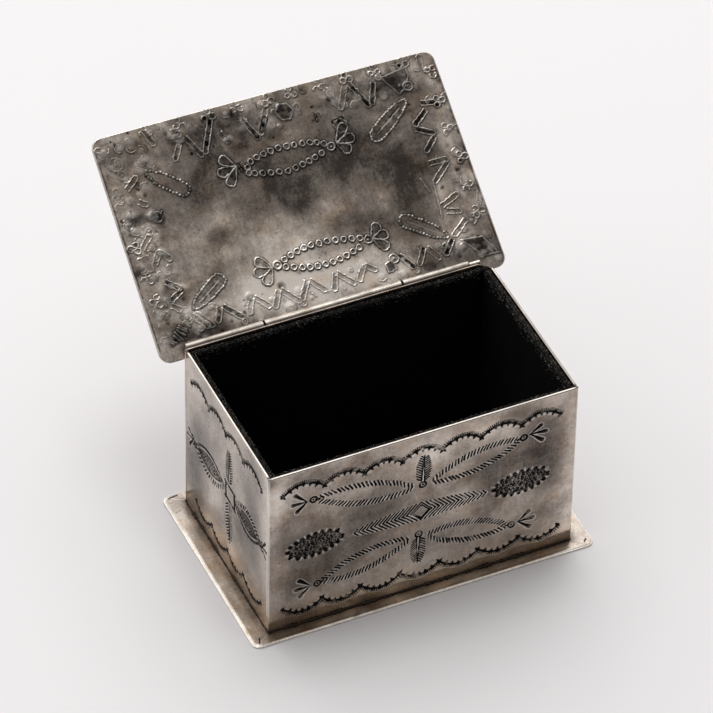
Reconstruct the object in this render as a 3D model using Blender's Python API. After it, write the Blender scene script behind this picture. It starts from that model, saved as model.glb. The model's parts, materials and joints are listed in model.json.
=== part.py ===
# Keepsake box of soldered silver sheet, with a hinged lid that stands open and a velvet lining.
# Metres, +Z up. The origin is the middle of the base plate's underside.
# +X runs to the right along the front, and +Y runs from the front to the hinge.
import math

import bmesh
import bpy

# Body: four sheets soldered at their ends
BODY_LENGTH = 0.115
BODY_WIDTH = 0.0716
WALL_HEIGHT = 0.0713
WALL_SHEET = 0.0009
RIM_ROUND = 0.00025

# Base plate: a sheet that stands out as a flange all round and thins towards its edge
BASE_SHEET = 0.0010
BASE_EDGE = 0.0006
BASE_SIDE_FLANGE = 0.0072
BASE_FRONT_FLANGE = 0.0050
BASE_CORNER = 0.0030
BASE_FOOT_BAND = 0.0008
BASE_CREASE_CORNER = 0.0004
BASE_EDGE_ROUND = 0.0002

# Lid: a flat plate that overhangs the body all round
LID_SHEET = 0.0009
LID_SIDE_OVERHANG = 0.0080
LID_FRONT_OVERHANG = 0.0056
LID_CORNER = 0.0040
LID_EDGE_ROUND = 0.00025

# Hinge: three tubes on one pin behind the back wall
TUBE_RADIUS = 0.0016
TUBE_END_ROUND = 0.00015
PIN_RADIUS = 0.0008
PIN_CLEARANCE = 0.00005
PIN_END_ROUND = 0.0002
PIN_STUB = 0.0045
TUBE_LEFT_MARGIN = 0.0012
TUBE_LEFT_LENGTH = 0.0292
TUBE_MIDDLE_LENGTH = 0.0519
TUBE_RIGHT_LENGTH = 0.0253
TUBE_SPLIT = 0.0003
OPEN_ANGLE = math.radians(144.5)

# Lining: velvet over card panels
CARD = 0.0008
VELVET = 0.0009
VELVET_FOLD_ROUND = 0.00045
VELVET_BELOW_RIM = 0.0012

# Gaps: the solder film between sheets, the glue film under the lining, and the lid's seat and stop
SOLDER_FILM = 0.0003
GLUE_FILM = 0.0003
LID_SEAT = 0.0003
LID_STOP = 0.0003

# How finely round shapes are cut
CORNER_STEPS = 8
ROUND_STEPS = 3
TUBE_SIDES = 48

# Levels and lines that follow from the sizes
WALL_FOOT_Z = BASE_SHEET + SOLDER_FILM
RIM_Z = WALL_FOOT_Z + WALL_HEIGHT
LINING_DEPTH = WALL_SHEET + GLUE_FILM + CARD + GLUE_FILM + VELVET
FLOOR_CARD_Z = BASE_SHEET + GLUE_FILM
FLOOR_VELVET_Z = FLOOR_CARD_Z + CARD + GLUE_FILM
FLOOR_Z = FLOOR_VELVET_Z + VELVET
PANEL_FOOT_Z = FLOOR_Z + GLUE_FILM
VELVET_TOP_Z = RIM_Z - VELVET_BELOW_RIM
CARD_TOP_Z = VELVET_TOP_Z - VELVET - GLUE_FILM
AXIS_TO_SOLDERED_FACE = TUBE_RADIUS + SOLDER_FILM
AXIS_Y = BODY_WIDTH / 2 + AXIS_TO_SOLDERED_FACE
AXIS_Z = RIM_Z + LID_SEAT - AXIS_TO_SOLDERED_FACE
PIN_BORE_RADIUS = (PIN_RADIUS + PIN_CLEARANCE) / math.cos(math.pi / TUBE_SIDES)
TUBE_LEFT_X = -BODY_LENGTH / 2 + TUBE_LEFT_MARGIN
TUBE_MIDDLE_X = TUBE_LEFT_X + TUBE_LEFT_LENGTH + TUBE_SPLIT
TUBE_RIGHT_X = TUBE_MIDDLE_X + TUBE_MIDDLE_LENGTH + TUBE_SPLIT
TUBE_RIGHT_END_X = TUBE_RIGHT_X + TUBE_RIGHT_LENGTH
SIDE_WALL_LENGTH = BODY_WIDTH - 2 * (WALL_SHEET + SOLDER_FILM)

# Each wall of the body: its outer face's middle, its turn about Z, and the length of its lining panel
SIDES = {
    "front": ((0, -BODY_WIDTH / 2), 0, BODY_LENGTH, BODY_LENGTH - 2 * (WALL_SHEET + GLUE_FILM)),
    "back": ((0, BODY_WIDTH / 2), math.pi, BODY_LENGTH, BODY_LENGTH - 2 * (WALL_SHEET + GLUE_FILM)),
    "left": ((-BODY_LENGTH / 2, 0), -math.pi / 2, SIDE_WALL_LENGTH, BODY_WIDTH - 2 * (LINING_DEPTH + GLUE_FILM)),
    "right": ((BODY_LENGTH / 2, 0), math.pi / 2, SIDE_WALL_LENGTH, BODY_WIDTH - 2 * (LINING_DEPTH + GLUE_FILM)),
}


def clear_scene():
    for old in list(bpy.data.objects):
        bpy.data.objects.remove(old, do_unlink=True)


def principled(name, colour, roughness, metallic):
    material = bpy.data.materials.new(name)
    material.use_nodes = True
    shader = material.node_tree.nodes["Principled BSDF"]
    shader.inputs["Base Color"].default_value = (*colour, 1)
    shader.inputs["Roughness"].default_value = roughness
    shader.inputs["Metallic"].default_value = metallic
    return material


def silver(name):
    return principled(name, (0.42, 0.39, 0.36), 0.34, 1)


def polished_silver(name):
    return principled(name, (0.68, 0.65, 0.61), 0.24, 1)


def velvet(name):
    return principled(name, (0.006, 0.006, 0.007), 0.95, 0)


def card(name):
    return principled(name, (0.34, 0.31, 0.26), 0.9, 0)


def add_object(name, shape, material, place=(0, 0, 0), turn=0, parent=None):
    """Turn a bmesh into an object that stands at place, turned about Z."""
    bmesh.ops.recalc_face_normals(shape, faces=shape.faces)
    mesh = bpy.data.meshes.new(name)
    shape.to_mesh(mesh)
    shape.free()
    mesh.shade_smooth()
    mesh.set_sharp_from_angle(angle=math.radians(30))
    mesh.materials.append(material)
    piece = bpy.data.objects.new(name, mesh)
    piece.location = place
    piece.rotation_euler.z = turn
    piece.parent = parent
    bpy.context.collection.objects.link(piece)
    return piece


def block(low, high):
    """A box between two corners."""
    shape = bmesh.new()
    bmesh.ops.create_cube(shape, size=1)
    for corner in shape.verts:
        for axis in range(3):
            corner.co[axis] = high[axis] if corner.co[axis] > 0 else low[axis]
    return shape


def round_top(shape, top, width, segments):
    """Round the edges of a block that run along X at its top."""
    def lies_on_top(edge):
        a, b = (corner.co for corner in edge.verts)
        return math.isclose(a.z, top, abs_tol=width / 2) and math.isclose(b.z, top, abs_tol=width / 2)

    def runs_along_x(edge):
        a, b = (corner.co for corner in edge.verts)
        return abs(a.x - b.x) > abs(a.y - b.y)

    edges = [edge for edge in shape.edges if lies_on_top(edge) and runs_along_x(edge)]
    bmesh.ops.bevel(shape, geom=edges, offset=width, segments=segments, profile=0.5, affect="EDGES")
    return shape


def round_rectangle(half_x, half_y, radius, z):
    """The outline of a rectangle with round corners, anticlockwise from above."""
    points = []
    for quarter, (side_x, side_y) in enumerate(((1, 1), (-1, 1), (-1, -1), (1, -1))):
        centre_x = side_x * (half_x - radius)
        centre_y = side_y * (half_y - radius)
        for step in range(CORNER_STEPS + 1):
            angle = (quarter + step / CORNER_STEPS) * math.pi / 2
            points.append((centre_x + radius * math.cos(angle), centre_y + radius * math.sin(angle), z))
    return points


def loft(outlines):
    """A closed body through outlines with equally many points, from the lowest up."""
    shape = bmesh.new()
    rings = [[shape.verts.new(point) for point in outline] for outline in outlines]
    count = len(rings[0])
    for lower, upper in zip(rings, rings[1:]):
        for i in range(count):
            j = (i + 1) % count
            shape.faces.new((lower[i], lower[j], upper[j], upper[i]))
    shape.faces.new(reversed(rings[0]))
    shape.faces.new(rings[-1])
    return shape


def plate(half_x, half_y, corner, bottom, top, edge_round):
    """A flat plate with round corners, whose edge is rounded over above and below."""
    outlines = []
    for step in range(ROUND_STEPS + 1):
        angle = step / ROUND_STEPS * math.pi / 2
        inset = edge_round * (1 - math.sin(angle))
        z = bottom + edge_round * (1 - math.cos(angle))
        outlines.append(round_rectangle(half_x - inset, half_y - inset, corner - inset, z))
    for step in range(ROUND_STEPS + 1):
        angle = step / ROUND_STEPS * math.pi / 2
        inset = edge_round * (1 - math.cos(angle))
        z = top - edge_round * (1 - math.sin(angle))
        outlines.append(round_rectangle(half_x - inset, half_y - inset, corner - inset, z))
    return loft(outlines)


def turned(profile):
    """A body turned about X from a profile of (x, radius) points. A profile that ends on the axis is solid."""
    shape = bmesh.new()
    closed = profile[0][1] > 0
    rings = []
    for x, radius in profile:
        if radius == 0:
            rings.append([shape.verts.new((x, 0, 0))] * TUBE_SIDES)
            continue
        turns = [2 * math.pi * i / TUBE_SIDES for i in range(TUBE_SIDES)]
        rings.append([shape.verts.new((x, radius * math.cos(a), radius * math.sin(a))) for a in turns])
    pairs = list(zip(rings, rings[1:]))
    if closed:
        pairs.append((rings[-1], rings[0]))
    for first, second in pairs:
        for i in range(TUBE_SIDES):
            j = (i + 1) % TUBE_SIDES
            corners = dict.fromkeys((first[i], first[j], second[j], second[i]))
            shape.faces.new(tuple(corners))
    return shape


def make_base_plate():
    half_x = BODY_LENGTH / 2 + BASE_SIDE_FLANGE
    half_y = BODY_WIDTH / 2 + BASE_FRONT_FLANGE
    crease_x = BODY_LENGTH / 2 + BASE_FOOT_BAND
    crease_y = BODY_WIDTH / 2 + BASE_FOOT_BAND
    inset = BASE_EDGE_ROUND
    edge = round_rectangle(half_x, half_y, BASE_CORNER, 0)
    rim = round_rectangle(half_x - inset, half_y - inset, BASE_CORNER - inset, 0)
    crease = round_rectangle(crease_x, crease_y, BASE_CREASE_CORNER, BASE_SHEET)

    def at(outline, z):
        return [(x, y, z) for x, y, _ in outline]

    outlines = [rim, at(edge, inset), at(edge, BASE_EDGE - inset), at(rim, BASE_EDGE), crease]
    add_object("base_plate", loft(outlines), silver("base_plate_silver"))


def make_walls():
    for side, (middle, turn, length, _) in SIDES.items():
        sheet = block((-length / 2, 0, WALL_FOOT_Z), (length / 2, WALL_SHEET, RIM_Z))
        round_top(sheet, RIM_Z, RIM_ROUND, ROUND_STEPS)
        add_object(f"wall_{side}", sheet, silver(f"wall_{side}_silver"), (*middle, 0), turn)


def velvet_fold(length):
    """Velvet that covers a card's face and folds over its top edge to the wall."""
    back = WALL_SHEET + GLUE_FILM
    front = LINING_DEPTH
    fold = VELVET_FOLD_ROUND
    profile = [
        (front, PANEL_FOOT_Z),
        (front - VELVET, PANEL_FOOT_Z),
        (front - VELVET, VELVET_TOP_Z - VELVET),
        (back, VELVET_TOP_Z - VELVET),
    ]
    for centre_y, quarter in ((back + fold, 1), (front - fold, 0)):
        for step in range(ROUND_STEPS + 1):
            angle = (quarter + 1 - step / ROUND_STEPS) * math.pi / 2
            y = centre_y + fold * math.cos(angle)
            profile.append((y, VELVET_TOP_Z - fold + fold * math.sin(angle)))
    shape = bmesh.new()
    ends = [[shape.verts.new((x, y, z)) for y, z in profile] for x in (-length / 2, length / 2)]
    shape.faces.new(ends[0])
    shape.faces.new(reversed(ends[1]))
    count = len(profile)
    for i in range(count):
        j = (i + 1) % count
        shape.faces.new((ends[0][i], ends[1][i], ends[1][j], ends[0][j]))
    return shape


def make_wall_lining():
    for side, (middle, turn, _, length) in SIDES.items():
        near = WALL_SHEET + GLUE_FILM
        board = block((-length / 2, near, PANEL_FOOT_Z), (length / 2, near + CARD, CARD_TOP_Z))
        add_object(f"card_{side}", board, card(f"card_{side}_board"), (*middle, 0), turn)
        add_object(f"velvet_{side}", velvet_fold(length), velvet(f"velvet_{side}_pile"), (*middle, 0), turn)


def make_floor_lining():
    half_x = BODY_LENGTH / 2 - WALL_SHEET - GLUE_FILM
    half_y = BODY_WIDTH / 2 - WALL_SHEET - GLUE_FILM
    board = block((-half_x, -half_y, FLOOR_CARD_Z), (half_x, half_y, FLOOR_CARD_Z + CARD))
    add_object("card_floor", board, card("card_floor_board"))
    pile = block((-half_x, -half_y, FLOOR_VELVET_Z), (half_x, half_y, FLOOR_Z))
    add_object("velvet_floor", pile, velvet("velvet_floor_pile"))


def tube(start, length):
    """A hinge tube along X with its bore, its outer ends rounded over."""
    end = start + length
    profile = [
        (start, PIN_BORE_RADIUS),
        (start, TUBE_RADIUS - TUBE_END_ROUND),
        (start + TUBE_END_ROUND, TUBE_RADIUS),
        (end - TUBE_END_ROUND, TUBE_RADIUS),
        (end, TUBE_RADIUS - TUBE_END_ROUND),
        (end, PIN_BORE_RADIUS),
    ]
    return turned(profile)


def pin():
    """The hinge pin along X, flush at the left and standing out at the right."""
    start = TUBE_LEFT_X
    end = TUBE_RIGHT_END_X + PIN_STUB
    profile = [
        (start, 0),
        (start, PIN_RADIUS - PIN_END_ROUND),
        (start + PIN_END_ROUND, PIN_RADIUS),
        (end - PIN_END_ROUND, PIN_RADIUS),
        (end, PIN_RADIUS - PIN_END_ROUND),
        (end, 0),
    ]
    return turned(profile)


def make_hinge():
    """The fixed tubes and the pin, and the turned empty on the hinge's axis that carries the lid."""
    axis = (0, AXIS_Y, AXIS_Z)
    left = tube(TUBE_LEFT_X, TUBE_LEFT_LENGTH)
    right = tube(TUBE_RIGHT_X, TUBE_RIGHT_LENGTH)
    add_object("hinge_knuckle_left", left, polished_silver("knuckle_left_silver"), axis)
    add_object("hinge_knuckle_right", right, polished_silver("knuckle_right_silver"), axis)
    add_object("hinge_pin", pin(), polished_silver("pin_silver"), axis)
    swing = bpy.data.objects.new("lid_swing", None)
    swing.location = axis
    swing.rotation_euler.x = -OPEN_ANGLE
    swing.empty_display_size = TUBE_RADIUS
    bpy.context.collection.objects.link(swing)
    return swing


def lid_rear_overhang():
    """How far the lid runs behind the axis, so that its rear edge meets the back wall when it is open."""
    reach = AXIS_TO_SOLDERED_FACE - LID_STOP
    return (reach + AXIS_TO_SOLDERED_FACE * math.sin(OPEN_ANGLE)) / -math.cos(OPEN_ANGLE)


def make_lid(swing):
    """The plate and its tube, modelled closed about the hinge's axis."""
    rear = lid_rear_overhang()
    front = -(AXIS_Y + BODY_WIDTH / 2 + LID_FRONT_OVERHANG)
    half_x = BODY_LENGTH / 2 + LID_SIDE_OVERHANG
    underside = AXIS_TO_SOLDERED_FACE
    sheet = plate(half_x, (rear - front) / 2, LID_CORNER, underside, underside + LID_SHEET, LID_EDGE_ROUND)
    bmesh.ops.translate(sheet, verts=sheet.verts, vec=(0, (rear + front) / 2, 0))
    add_object("lid_plate", sheet, silver("lid_silver"), parent=swing)
    middle = tube(TUBE_MIDDLE_X, TUBE_MIDDLE_LENGTH)
    add_object("hinge_knuckle_middle", middle, polished_silver("knuckle_middle_silver"), parent=swing)


def main():
    clear_scene()
    make_base_plate()
    make_walls()
    make_floor_lining()
    make_wall_lining()
    swing = make_hinge()
    make_lid(swing)


main()
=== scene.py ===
"""Looks for a hand-stamped silver keepsake box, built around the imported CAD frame."""

import json
import math

import bpy
import numpy as np
from mathutils import Matrix, Vector


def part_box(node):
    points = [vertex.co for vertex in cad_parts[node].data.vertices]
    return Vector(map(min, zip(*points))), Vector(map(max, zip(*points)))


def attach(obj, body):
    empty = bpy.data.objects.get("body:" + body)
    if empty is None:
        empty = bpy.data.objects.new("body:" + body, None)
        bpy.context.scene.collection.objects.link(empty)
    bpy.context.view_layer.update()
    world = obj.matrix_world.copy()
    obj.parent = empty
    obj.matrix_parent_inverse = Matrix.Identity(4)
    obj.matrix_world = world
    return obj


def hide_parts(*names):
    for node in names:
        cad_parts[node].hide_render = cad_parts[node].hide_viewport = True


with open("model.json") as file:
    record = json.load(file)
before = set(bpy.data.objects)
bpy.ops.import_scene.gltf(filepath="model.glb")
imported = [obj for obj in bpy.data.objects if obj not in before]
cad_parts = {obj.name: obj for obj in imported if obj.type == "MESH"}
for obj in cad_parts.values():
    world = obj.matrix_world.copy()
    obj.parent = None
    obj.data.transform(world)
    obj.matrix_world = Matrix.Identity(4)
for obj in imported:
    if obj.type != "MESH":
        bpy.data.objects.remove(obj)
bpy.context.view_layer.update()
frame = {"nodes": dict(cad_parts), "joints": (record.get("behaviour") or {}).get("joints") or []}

MM = 0.001  # the sheets' own coordinates are in millimetres
UP = np.array([0, 0, 1])
ACROSS = np.array([1, 0, 0])
OUTWARD = {"front": (0, -1, 0), "back": (0, 1, 0), "left": (-1, 0, 0), "right": (1, 0, 0)}

# Sheets
SHEET = 0.9  # thickness of the walls and the lid
BASE_THICK = 1.0
EDGE_ROUND = 0.2
EDGE_STEPS = 3
EDGE_SUPPORT = 0.06  # flat strip between a face's lattice and its rounded edge
WALL_PITCH = 0.16
LID_PITCH = 0.2
BASE_PITCH = 0.25
CLOTH_PITCH = 0.4
BLOCK = 8  # lattice steps along one plain cell
BASE_CORNER = 3.0
LID_CORNER = 4.0
WOBBLE_REACH = 0.7
CALM_EDGE = 5.0  # the sheets' waves fade out over this strip along the edge

# What a punch leaves
DEEP = 0.22
SHALLOW = 0.12
STRUCK_REACH = 0.8  # how far beyond its half width a strike's marks go
BURR_AT = 0.17
BURR_SPREAD = 0.13
BURR_LIFT = 0.05
# Share of a strike's brightness painted on the burr beside a groove: rubbed metal with a painted highlight
BURR_HIGHLIGHT = 0.3
DARK_OVER = 0.1
DARK_SOFT = 0.16
SHADE_OVER = 0.12
SHADE_SPREAD = 0.3
SOFT_REACH = 0.4
# How a painted highlight line fades at its sides
HIGHLIGHT_OVER = 0.1
HIGHLIGHT_SOFT = 0.2
DARK_LINE_OVER = 0.15
DARK_LINE_SOFT = 0.3
FIELD_SOFT = 0.5
CLOUD_REACH = 2.6
SHOWS = 0.004  # a block of the lattice with more height or darkness than these two stays fine
DARK_SHOWS = 0.08
DISH_SHARE = 0.9
DISH_RADIUS = 1.6

# Waves in a sheet
WAVE_COUNT = 7
WAVE_LENGTHS = (14, 46)


def smooth(x):
    x = np.clip(x, 0, 1)
    return x * x * (3 - 2 * x)


def dome(away, radius):
    """A parabola: 1 in the middle and 0 from the radius on."""
    return np.clip(1 - (away / radius) ** 2, 0, 1)


def box_blur(values, radius):
    """Three passes of a running mean, close to a Gaussian."""
    radius = max(1, int(radius))
    count = 2 * radius + 1
    for _ in range(3):
        for _ in range(2):
            total = np.cumsum(np.pad(values, ((radius + 1, radius), (0, 0)), mode="edge"), axis=0)
            values = ((total[count:] - total[:-count]) / count).T
    return values


def rough_field(shape, radius, seed):
    """Smooth random values with a mean of zero and a spread of one."""
    values = box_blur(np.random.default_rng(seed).normal(size=shape), radius)
    return values / values.std()


def run(start, end):
    """A way from start to end: both as arrays, its length, and the directions along it and to its left."""
    start, end = np.array(start, float), np.array(end, float)
    length = np.linalg.norm(end - start)
    along = (end - start) / length
    return start, end, length, along, np.array([-along[1], along[0]])


class Face:
    """One face of a sheet: a lattice in millimetres, and what the punches leave on it.

    sense is -1 where the punches struck and +1 on the reverse, where their lines stand up."""

    def __init__(self, low, high, pitch, sense=-1, corner=0.0, skew=None, wobble=0.0, shift=(0.0, 0.0)):
        self.low, self.high = np.array(low, float), np.array(high, float)
        self.sense = sense
        self.slack = corner + max(shift)
        self.blocks = np.maximum(1, np.round((self.high - self.low) / (pitch * BLOCK)).astype(int))
        counts = self.blocks * BLOCK + 1
        self.step = (self.high - self.low) / (counts - 1)
        self.u, self.v = np.meshgrid(*(np.linspace(*ends) for ends in zip(self.low, self.high, counts)))
        if corner:
            self.round_corners(corner)
        if skew:
            self.skew(*skew)
        shape, radius = self.u.shape, WOBBLE_REACH / self.step[0] / 2
        self.punch_u = self.u - shift[0] + wobble * rough_field(shape, radius, 1)
        self.punch_v = self.v - shift[1] + wobble * rough_field(shape, radius, 2)
        self.blotchy = min(0.45, 6 * wobble) * rough_field(shape, radius * 1.4, 3)
        for name in ("pressed", "raised", "patina", "wear", "tarnish", "base"):
            setattr(self, name, np.zeros(shape))
        self.keep_fine = np.zeros(shape, bool)

    def edges(self, u, v):
        """Distance to the nearer end of the face along u, and along v."""
        return np.minimum(u - self.low[0], self.high[0] - u), np.minimum(v - self.low[1], self.high[1] - v)

    def round_corners(self, radius):
        edge_u, edge_v = self.edges(self.u, self.v)
        shrink = radius - np.sqrt(radius**2 - np.clip(radius - edge_v, 0, radius) ** 2)
        share = np.clip(1 - edge_u / (3 * radius), 0, 1)
        self.u = self.u - np.sign(self.u - (self.low[0] + self.high[0]) / 2) * shrink * share

    def skew(self, left, right):
        """Draws the far corners in: the left one along u, the right one along v."""
        size = self.high - self.low
        s, t = (self.u - self.low[0]) / size[0], (self.v - self.low[1]) / size[1]
        self.u = self.u + left * t * np.clip(1 - 2 * s, 0, 1)
        self.v = self.v - right * t * s**2

    def near(self, points, reach):
        """The window of the lattice within reach of some points."""
        reach = reach + self.slack
        first = np.floor((points.min(0) - reach - self.low) / self.step).astype(int)
        last = np.ceil((points.max(0) + reach - self.low) / self.step).astype(int) + 1
        first, last = np.maximum(first, 0), np.maximum(last, 0)
        return slice(first[1], last[1]), slice(first[0], last[0])

    def about(self, line, half, reach, end_half=None):
        """The window about a line of points, how far each place is from it, and its half width there."""
        line = np.atleast_2d(np.asarray(line, float))
        window = self.near(line, reach)
        u, v = self.punch_u[window], self.punch_v[window]
        if len(line) == 1:
            return window, np.hypot(u - line[0, 0], v - line[0, 1]), np.full(u.shape, half)
        end_half = half if end_half is None else end_half
        steps = np.linalg.norm(np.diff(line, axis=0), axis=1)
        along = np.concatenate([[0], np.cumsum(steps)]) / max(steps.sum(), 1e-9)
        best, local = np.full(u.shape, np.inf), np.full(u.shape, half)
        for a, d, begun, share in zip(line, np.diff(line, axis=0), along, np.diff(along)):
            t = np.clip(((u - a[0]) * d[0] + (v - a[1]) * d[1]) / max(d @ d, 1e-9), 0, 1)
            away = np.hypot(u - a[0] - t * d[0], v - a[1] - t * d[1])
            width = half + (end_half - half) * (begun + t * share)
            nearer = away - width < best - local
            best, local = np.where(nearer, away, best), np.where(nearer, width, local)
        return window, best, local

    def mark(self, window, **fields):
        """Where two marks share a place, the stronger one shows."""
        for name, values in fields.items():
            kept = getattr(self, name)
            kept[window] = np.maximum(kept[window], values)

    def strike(self, line, half, depth, dark=1.0, bright=0.5, end_half=None):
        """Leaves a groove, or on the reverse a ridge, of that half width along a line."""
        window, away, local = self.about(line, half, max(half, end_half or 0) + STRUCK_REACH, end_half)
        body = dome(away, local)
        if self.sense < 0:
            # Beside a groove: the raised burr, rubbed bright and given a painted highlight; in the groove,
            # black oxide.
            beside = np.exp(-(((away - local - BURR_AT) / BURR_SPREAD) ** 2))
            self.mark(window, pressed=depth * body, raised=BURR_LIFT * min(1, depth / DEEP) * beside,
                      patina=dark * smooth((local + DARK_OVER - away) / DARK_SOFT), wear=BURR_HIGHLIGHT * bright * beside)
        else:
            # On the reverse: the dark band beside the ridge is painted shade with some tarnish; the ridge is
            # rubbed bright with a painted highlight.
            shade = np.exp(-((np.maximum(away - local - SHADE_OVER, 0) / SHADE_SPREAD) ** 2))
            shade *= dark * smooth((away - 0.5 * local) / 0.2)
            self.mark(window, raised=depth * body, patina=shade, wear=bright * body**0.5)

    def paint_highlight(self, line, half, bright):
        """A painted highlight: a bright line with no depth, where a lit edge would catch the light."""
        window, away, _ = self.about(line, half, half + SOFT_REACH)
        self.mark(window, wear=bright * smooth((half + HIGHLIGHT_OVER - away) / HIGHLIGHT_SOFT))

    def shade(self, line, half, dark):
        """A dark line with no depth, for stains and for painted shade."""
        window, away, _ = self.about(line, half, half + SOFT_REACH)
        self.mark(window, patina=dark * smooth((half + DARK_LINE_OVER - away) / DARK_LINE_SOFT))

    def spot(self, centre, radius, dark=0.0, bright=0.0):
        """A stain or a worn spot with a soft rim."""
        window, away, _ = self.about(centre, radius, 2 * radius)
        share = smooth(1.5 - away / radius)
        self.mark(window, patina=dark * share, wear=bright * share)

    def clear(self, centre, radius):
        """Takes back what was struck inside a circle."""
        window, away, _ = self.about(centre, radius, 2 * radius)
        for values in (self.pressed, self.raised, self.patina, self.wear):
            values[window] *= smooth((away - radius) / 0.2 + 0.5)

    def swell(self, centre, radius, lift, bright):
        """A small rounded lump, rubbed bright, with a painted highlight on it."""
        window, away, _ = self.about(centre, radius, 2 * radius)
        self.raised[window] += lift * dome(away, radius)
        self.mark(window, wear=bright * dome(away, radius))

    def relieve(self, line, half, lift, bright):
        """Leaves a light line standing inside a pressed field."""
        window, away, _ = self.about(line, half, 2 * half)
        body = dome(away, half)
        self.pressed[window] -= lift * body * (self.pressed[window] > 0)
        self.patina[window] *= 1 - 0.9 * body
        self.mark(window, wear=bright * body)

    def field(self, outline, depth, dark):
        """Presses, or on the reverse lifts, the whole area inside a convex outline."""
        outline = np.asarray(outline, float)
        window = self.near(outline, 1.0)
        u, v = self.punch_u[window], self.punch_v[window]
        turned = np.roll(outline, -1, axis=0)
        area = (outline[:, 0] * turned[:, 1] - outline[:, 1] * turned[:, 0]).sum()
        inside = np.full(u.shape, np.inf)
        for a, b in zip(outline, turned):
            d = (b - a) / max(np.linalg.norm(b - a), 1e-9) * np.sign(area)
            inside = np.minimum(inside, d[0] * (v - a[1]) - d[1] * (u - a[0]))
        share = smooth(inside / FIELD_SOFT + 0.5)
        self.mark(window, patina=dark * share, **{"pressed" if self.sense < 0 else "raised": depth * share})

    def cloud(self, u, v, reach_u, reach_v, strength, turn=0.0):
        """A soft patch of darker tarnish, or of lighter metal where strength is below zero."""
        c, s = math.cos(math.radians(turn)), math.sin(math.radians(turn))
        window = self.near(np.array([[u, v]], float), CLOUD_REACH * max(reach_u, reach_v))
        du, dv = self.u[window] - u, self.v[window] - v
        along, across = (du * c + dv * s) / reach_u, (dv * c - du * s) / reach_v
        self.tarnish[window] += strength * np.exp(-(along**2 + across**2))

    def mottle(self, rng, count, low, high, strength, share=lambda u, v: 1):
        """Many small clouds, darker and lighter, over the face, as strong as share says at each place."""
        for _ in range(count):
            u, v = rng.uniform(self.low, self.high)
            reach = rng.uniform(low, high, 2)
            power = strength * rng.normal() * share(u, v)
            self.cloud(u, v, *reach, power, rng.uniform(0, 180))

    def settle(self):
        """Makes the marks blotchy, and weighs the dark marks against the rubbed and painted bright ones."""
        self.patina *= np.clip(1 + self.blotchy, 0.3, 1)
        self.wear *= np.clip(1 - self.blotchy, 0.3, 1)
        if self.sense < 0:
            self.wear *= 1 - 0.95 * self.patina
        else:
            self.patina *= 1 - 0.85 * self.wear

    def height(self, wave):
        """Final height of every lattice point above the sheet's nominal face."""
        edge = np.minimum(*self.edges(self.u, self.v))
        dish = box_blur(self.raised if self.sense > 0 else -self.pressed, DISH_RADIUS / self.step[0] / 2)
        stamped = self.raised * (1 if self.sense > 0 else 1 - smooth(self.pressed / 0.05))
        return self.base + smooth(edge / CALM_EDGE) * (wave + DISH_SHARE * dish) + stamped - self.pressed

    def fine_blocks(self):
        """Which blocks of the lattice have something to show."""
        busy = (np.maximum(self.pressed, self.raised) > SHOWS) | (self.patina > DARK_SHOWS) | self.keep_fine
        rows, columns = self.blocks[1], self.blocks[0]
        shape = (rows, BLOCK, columns, BLOCK)
        return busy[:-1, :-1].reshape(shape).any((1, 3)) | busy[1:, 1:].reshape(shape).any((1, 3))


def wave_field(face, seed, amplitude):
    """The slight unevenness that hammering and handling leave in a flat sheet."""
    rng = np.random.default_rng(seed)
    total = np.zeros(face.u.shape)
    for _ in range(WAVE_COUNT):
        turn, phase = rng.uniform(0, math.tau, 2)
        length = rng.uniform(*WAVE_LENGTHS)
        ripple = np.sin(math.tau * (face.u * math.cos(turn) + face.v * math.sin(turn)) / length + phase)
        total += ripple * length / WAVE_LENGTHS[1]
    return amplitude * total / 3


def border(top, left, bottom, right):
    """Lattice places round a rectangle of the lattice, counter-clockwise."""
    path = [(top, c) for c in range(left, right)]
    path += [(r, right) for r in range(top, bottom)]
    path += [(bottom, c) for c in range(right, left, -1)]
    return path + [(r, left) for r in range(bottom, top, -1)]


def lattice_faces(fine, index):
    """Quads over the fine cells, and one polygon over each plain cell."""
    r, c = np.nonzero(np.repeat(np.repeat(fine, BLOCK, 0), BLOCK, 1))
    polygons = np.stack([index[r, c], index[r, c + 1], index[r + 1, c + 1], index[r + 1, c]], 1).tolist()
    for top, left in np.argwhere(~fine) * BLOCK:
        ring = [int(index[p]) for p in border(top, left, top + BLOCK, left + BLOCK)]
        polygons.append([k for k in ring if k >= 0])
    return polygons


def stitched(loop, ring):
    """Quads between two closed loops of equally many points."""
    pairs = list(zip(loop, ring))
    return [[b[0], a[0], a[1], b[1]] for a, b in zip(pairs, pairs[1:] + pairs[:1])]


def tube_faces(size, count):
    """Sides and ends of a closed tube of count rings, each of size points."""
    rings = [list(range(k * size, (k + 1) * size)) for k in range(count)]
    sides = [quad for ring, after in zip(rings, rings[1:]) for quad in stitched(after, ring)]
    return sides + [rings[0][::-1], rings[-1]]


def unit_rows(vectors):
    return vectors / np.linalg.norm(vectors, axis=1)[:, None]


def outward(points):
    """Mitred outward direction at each point of a closed counter-clockwise outline."""
    before = unit_rows(points - np.roll(points, 1, 0))
    after = unit_rows(np.roll(points, -1, 0) - points)
    normal = unit_rows(np.stack([before[:, 1] + after[:, 1], -before[:, 0] - after[:, 0]], 1))
    side = np.stack([after[:, 1], -after[:, 0]], 1)
    return normal / np.maximum((normal * side).sum(1), 0.5)[:, None]


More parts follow.
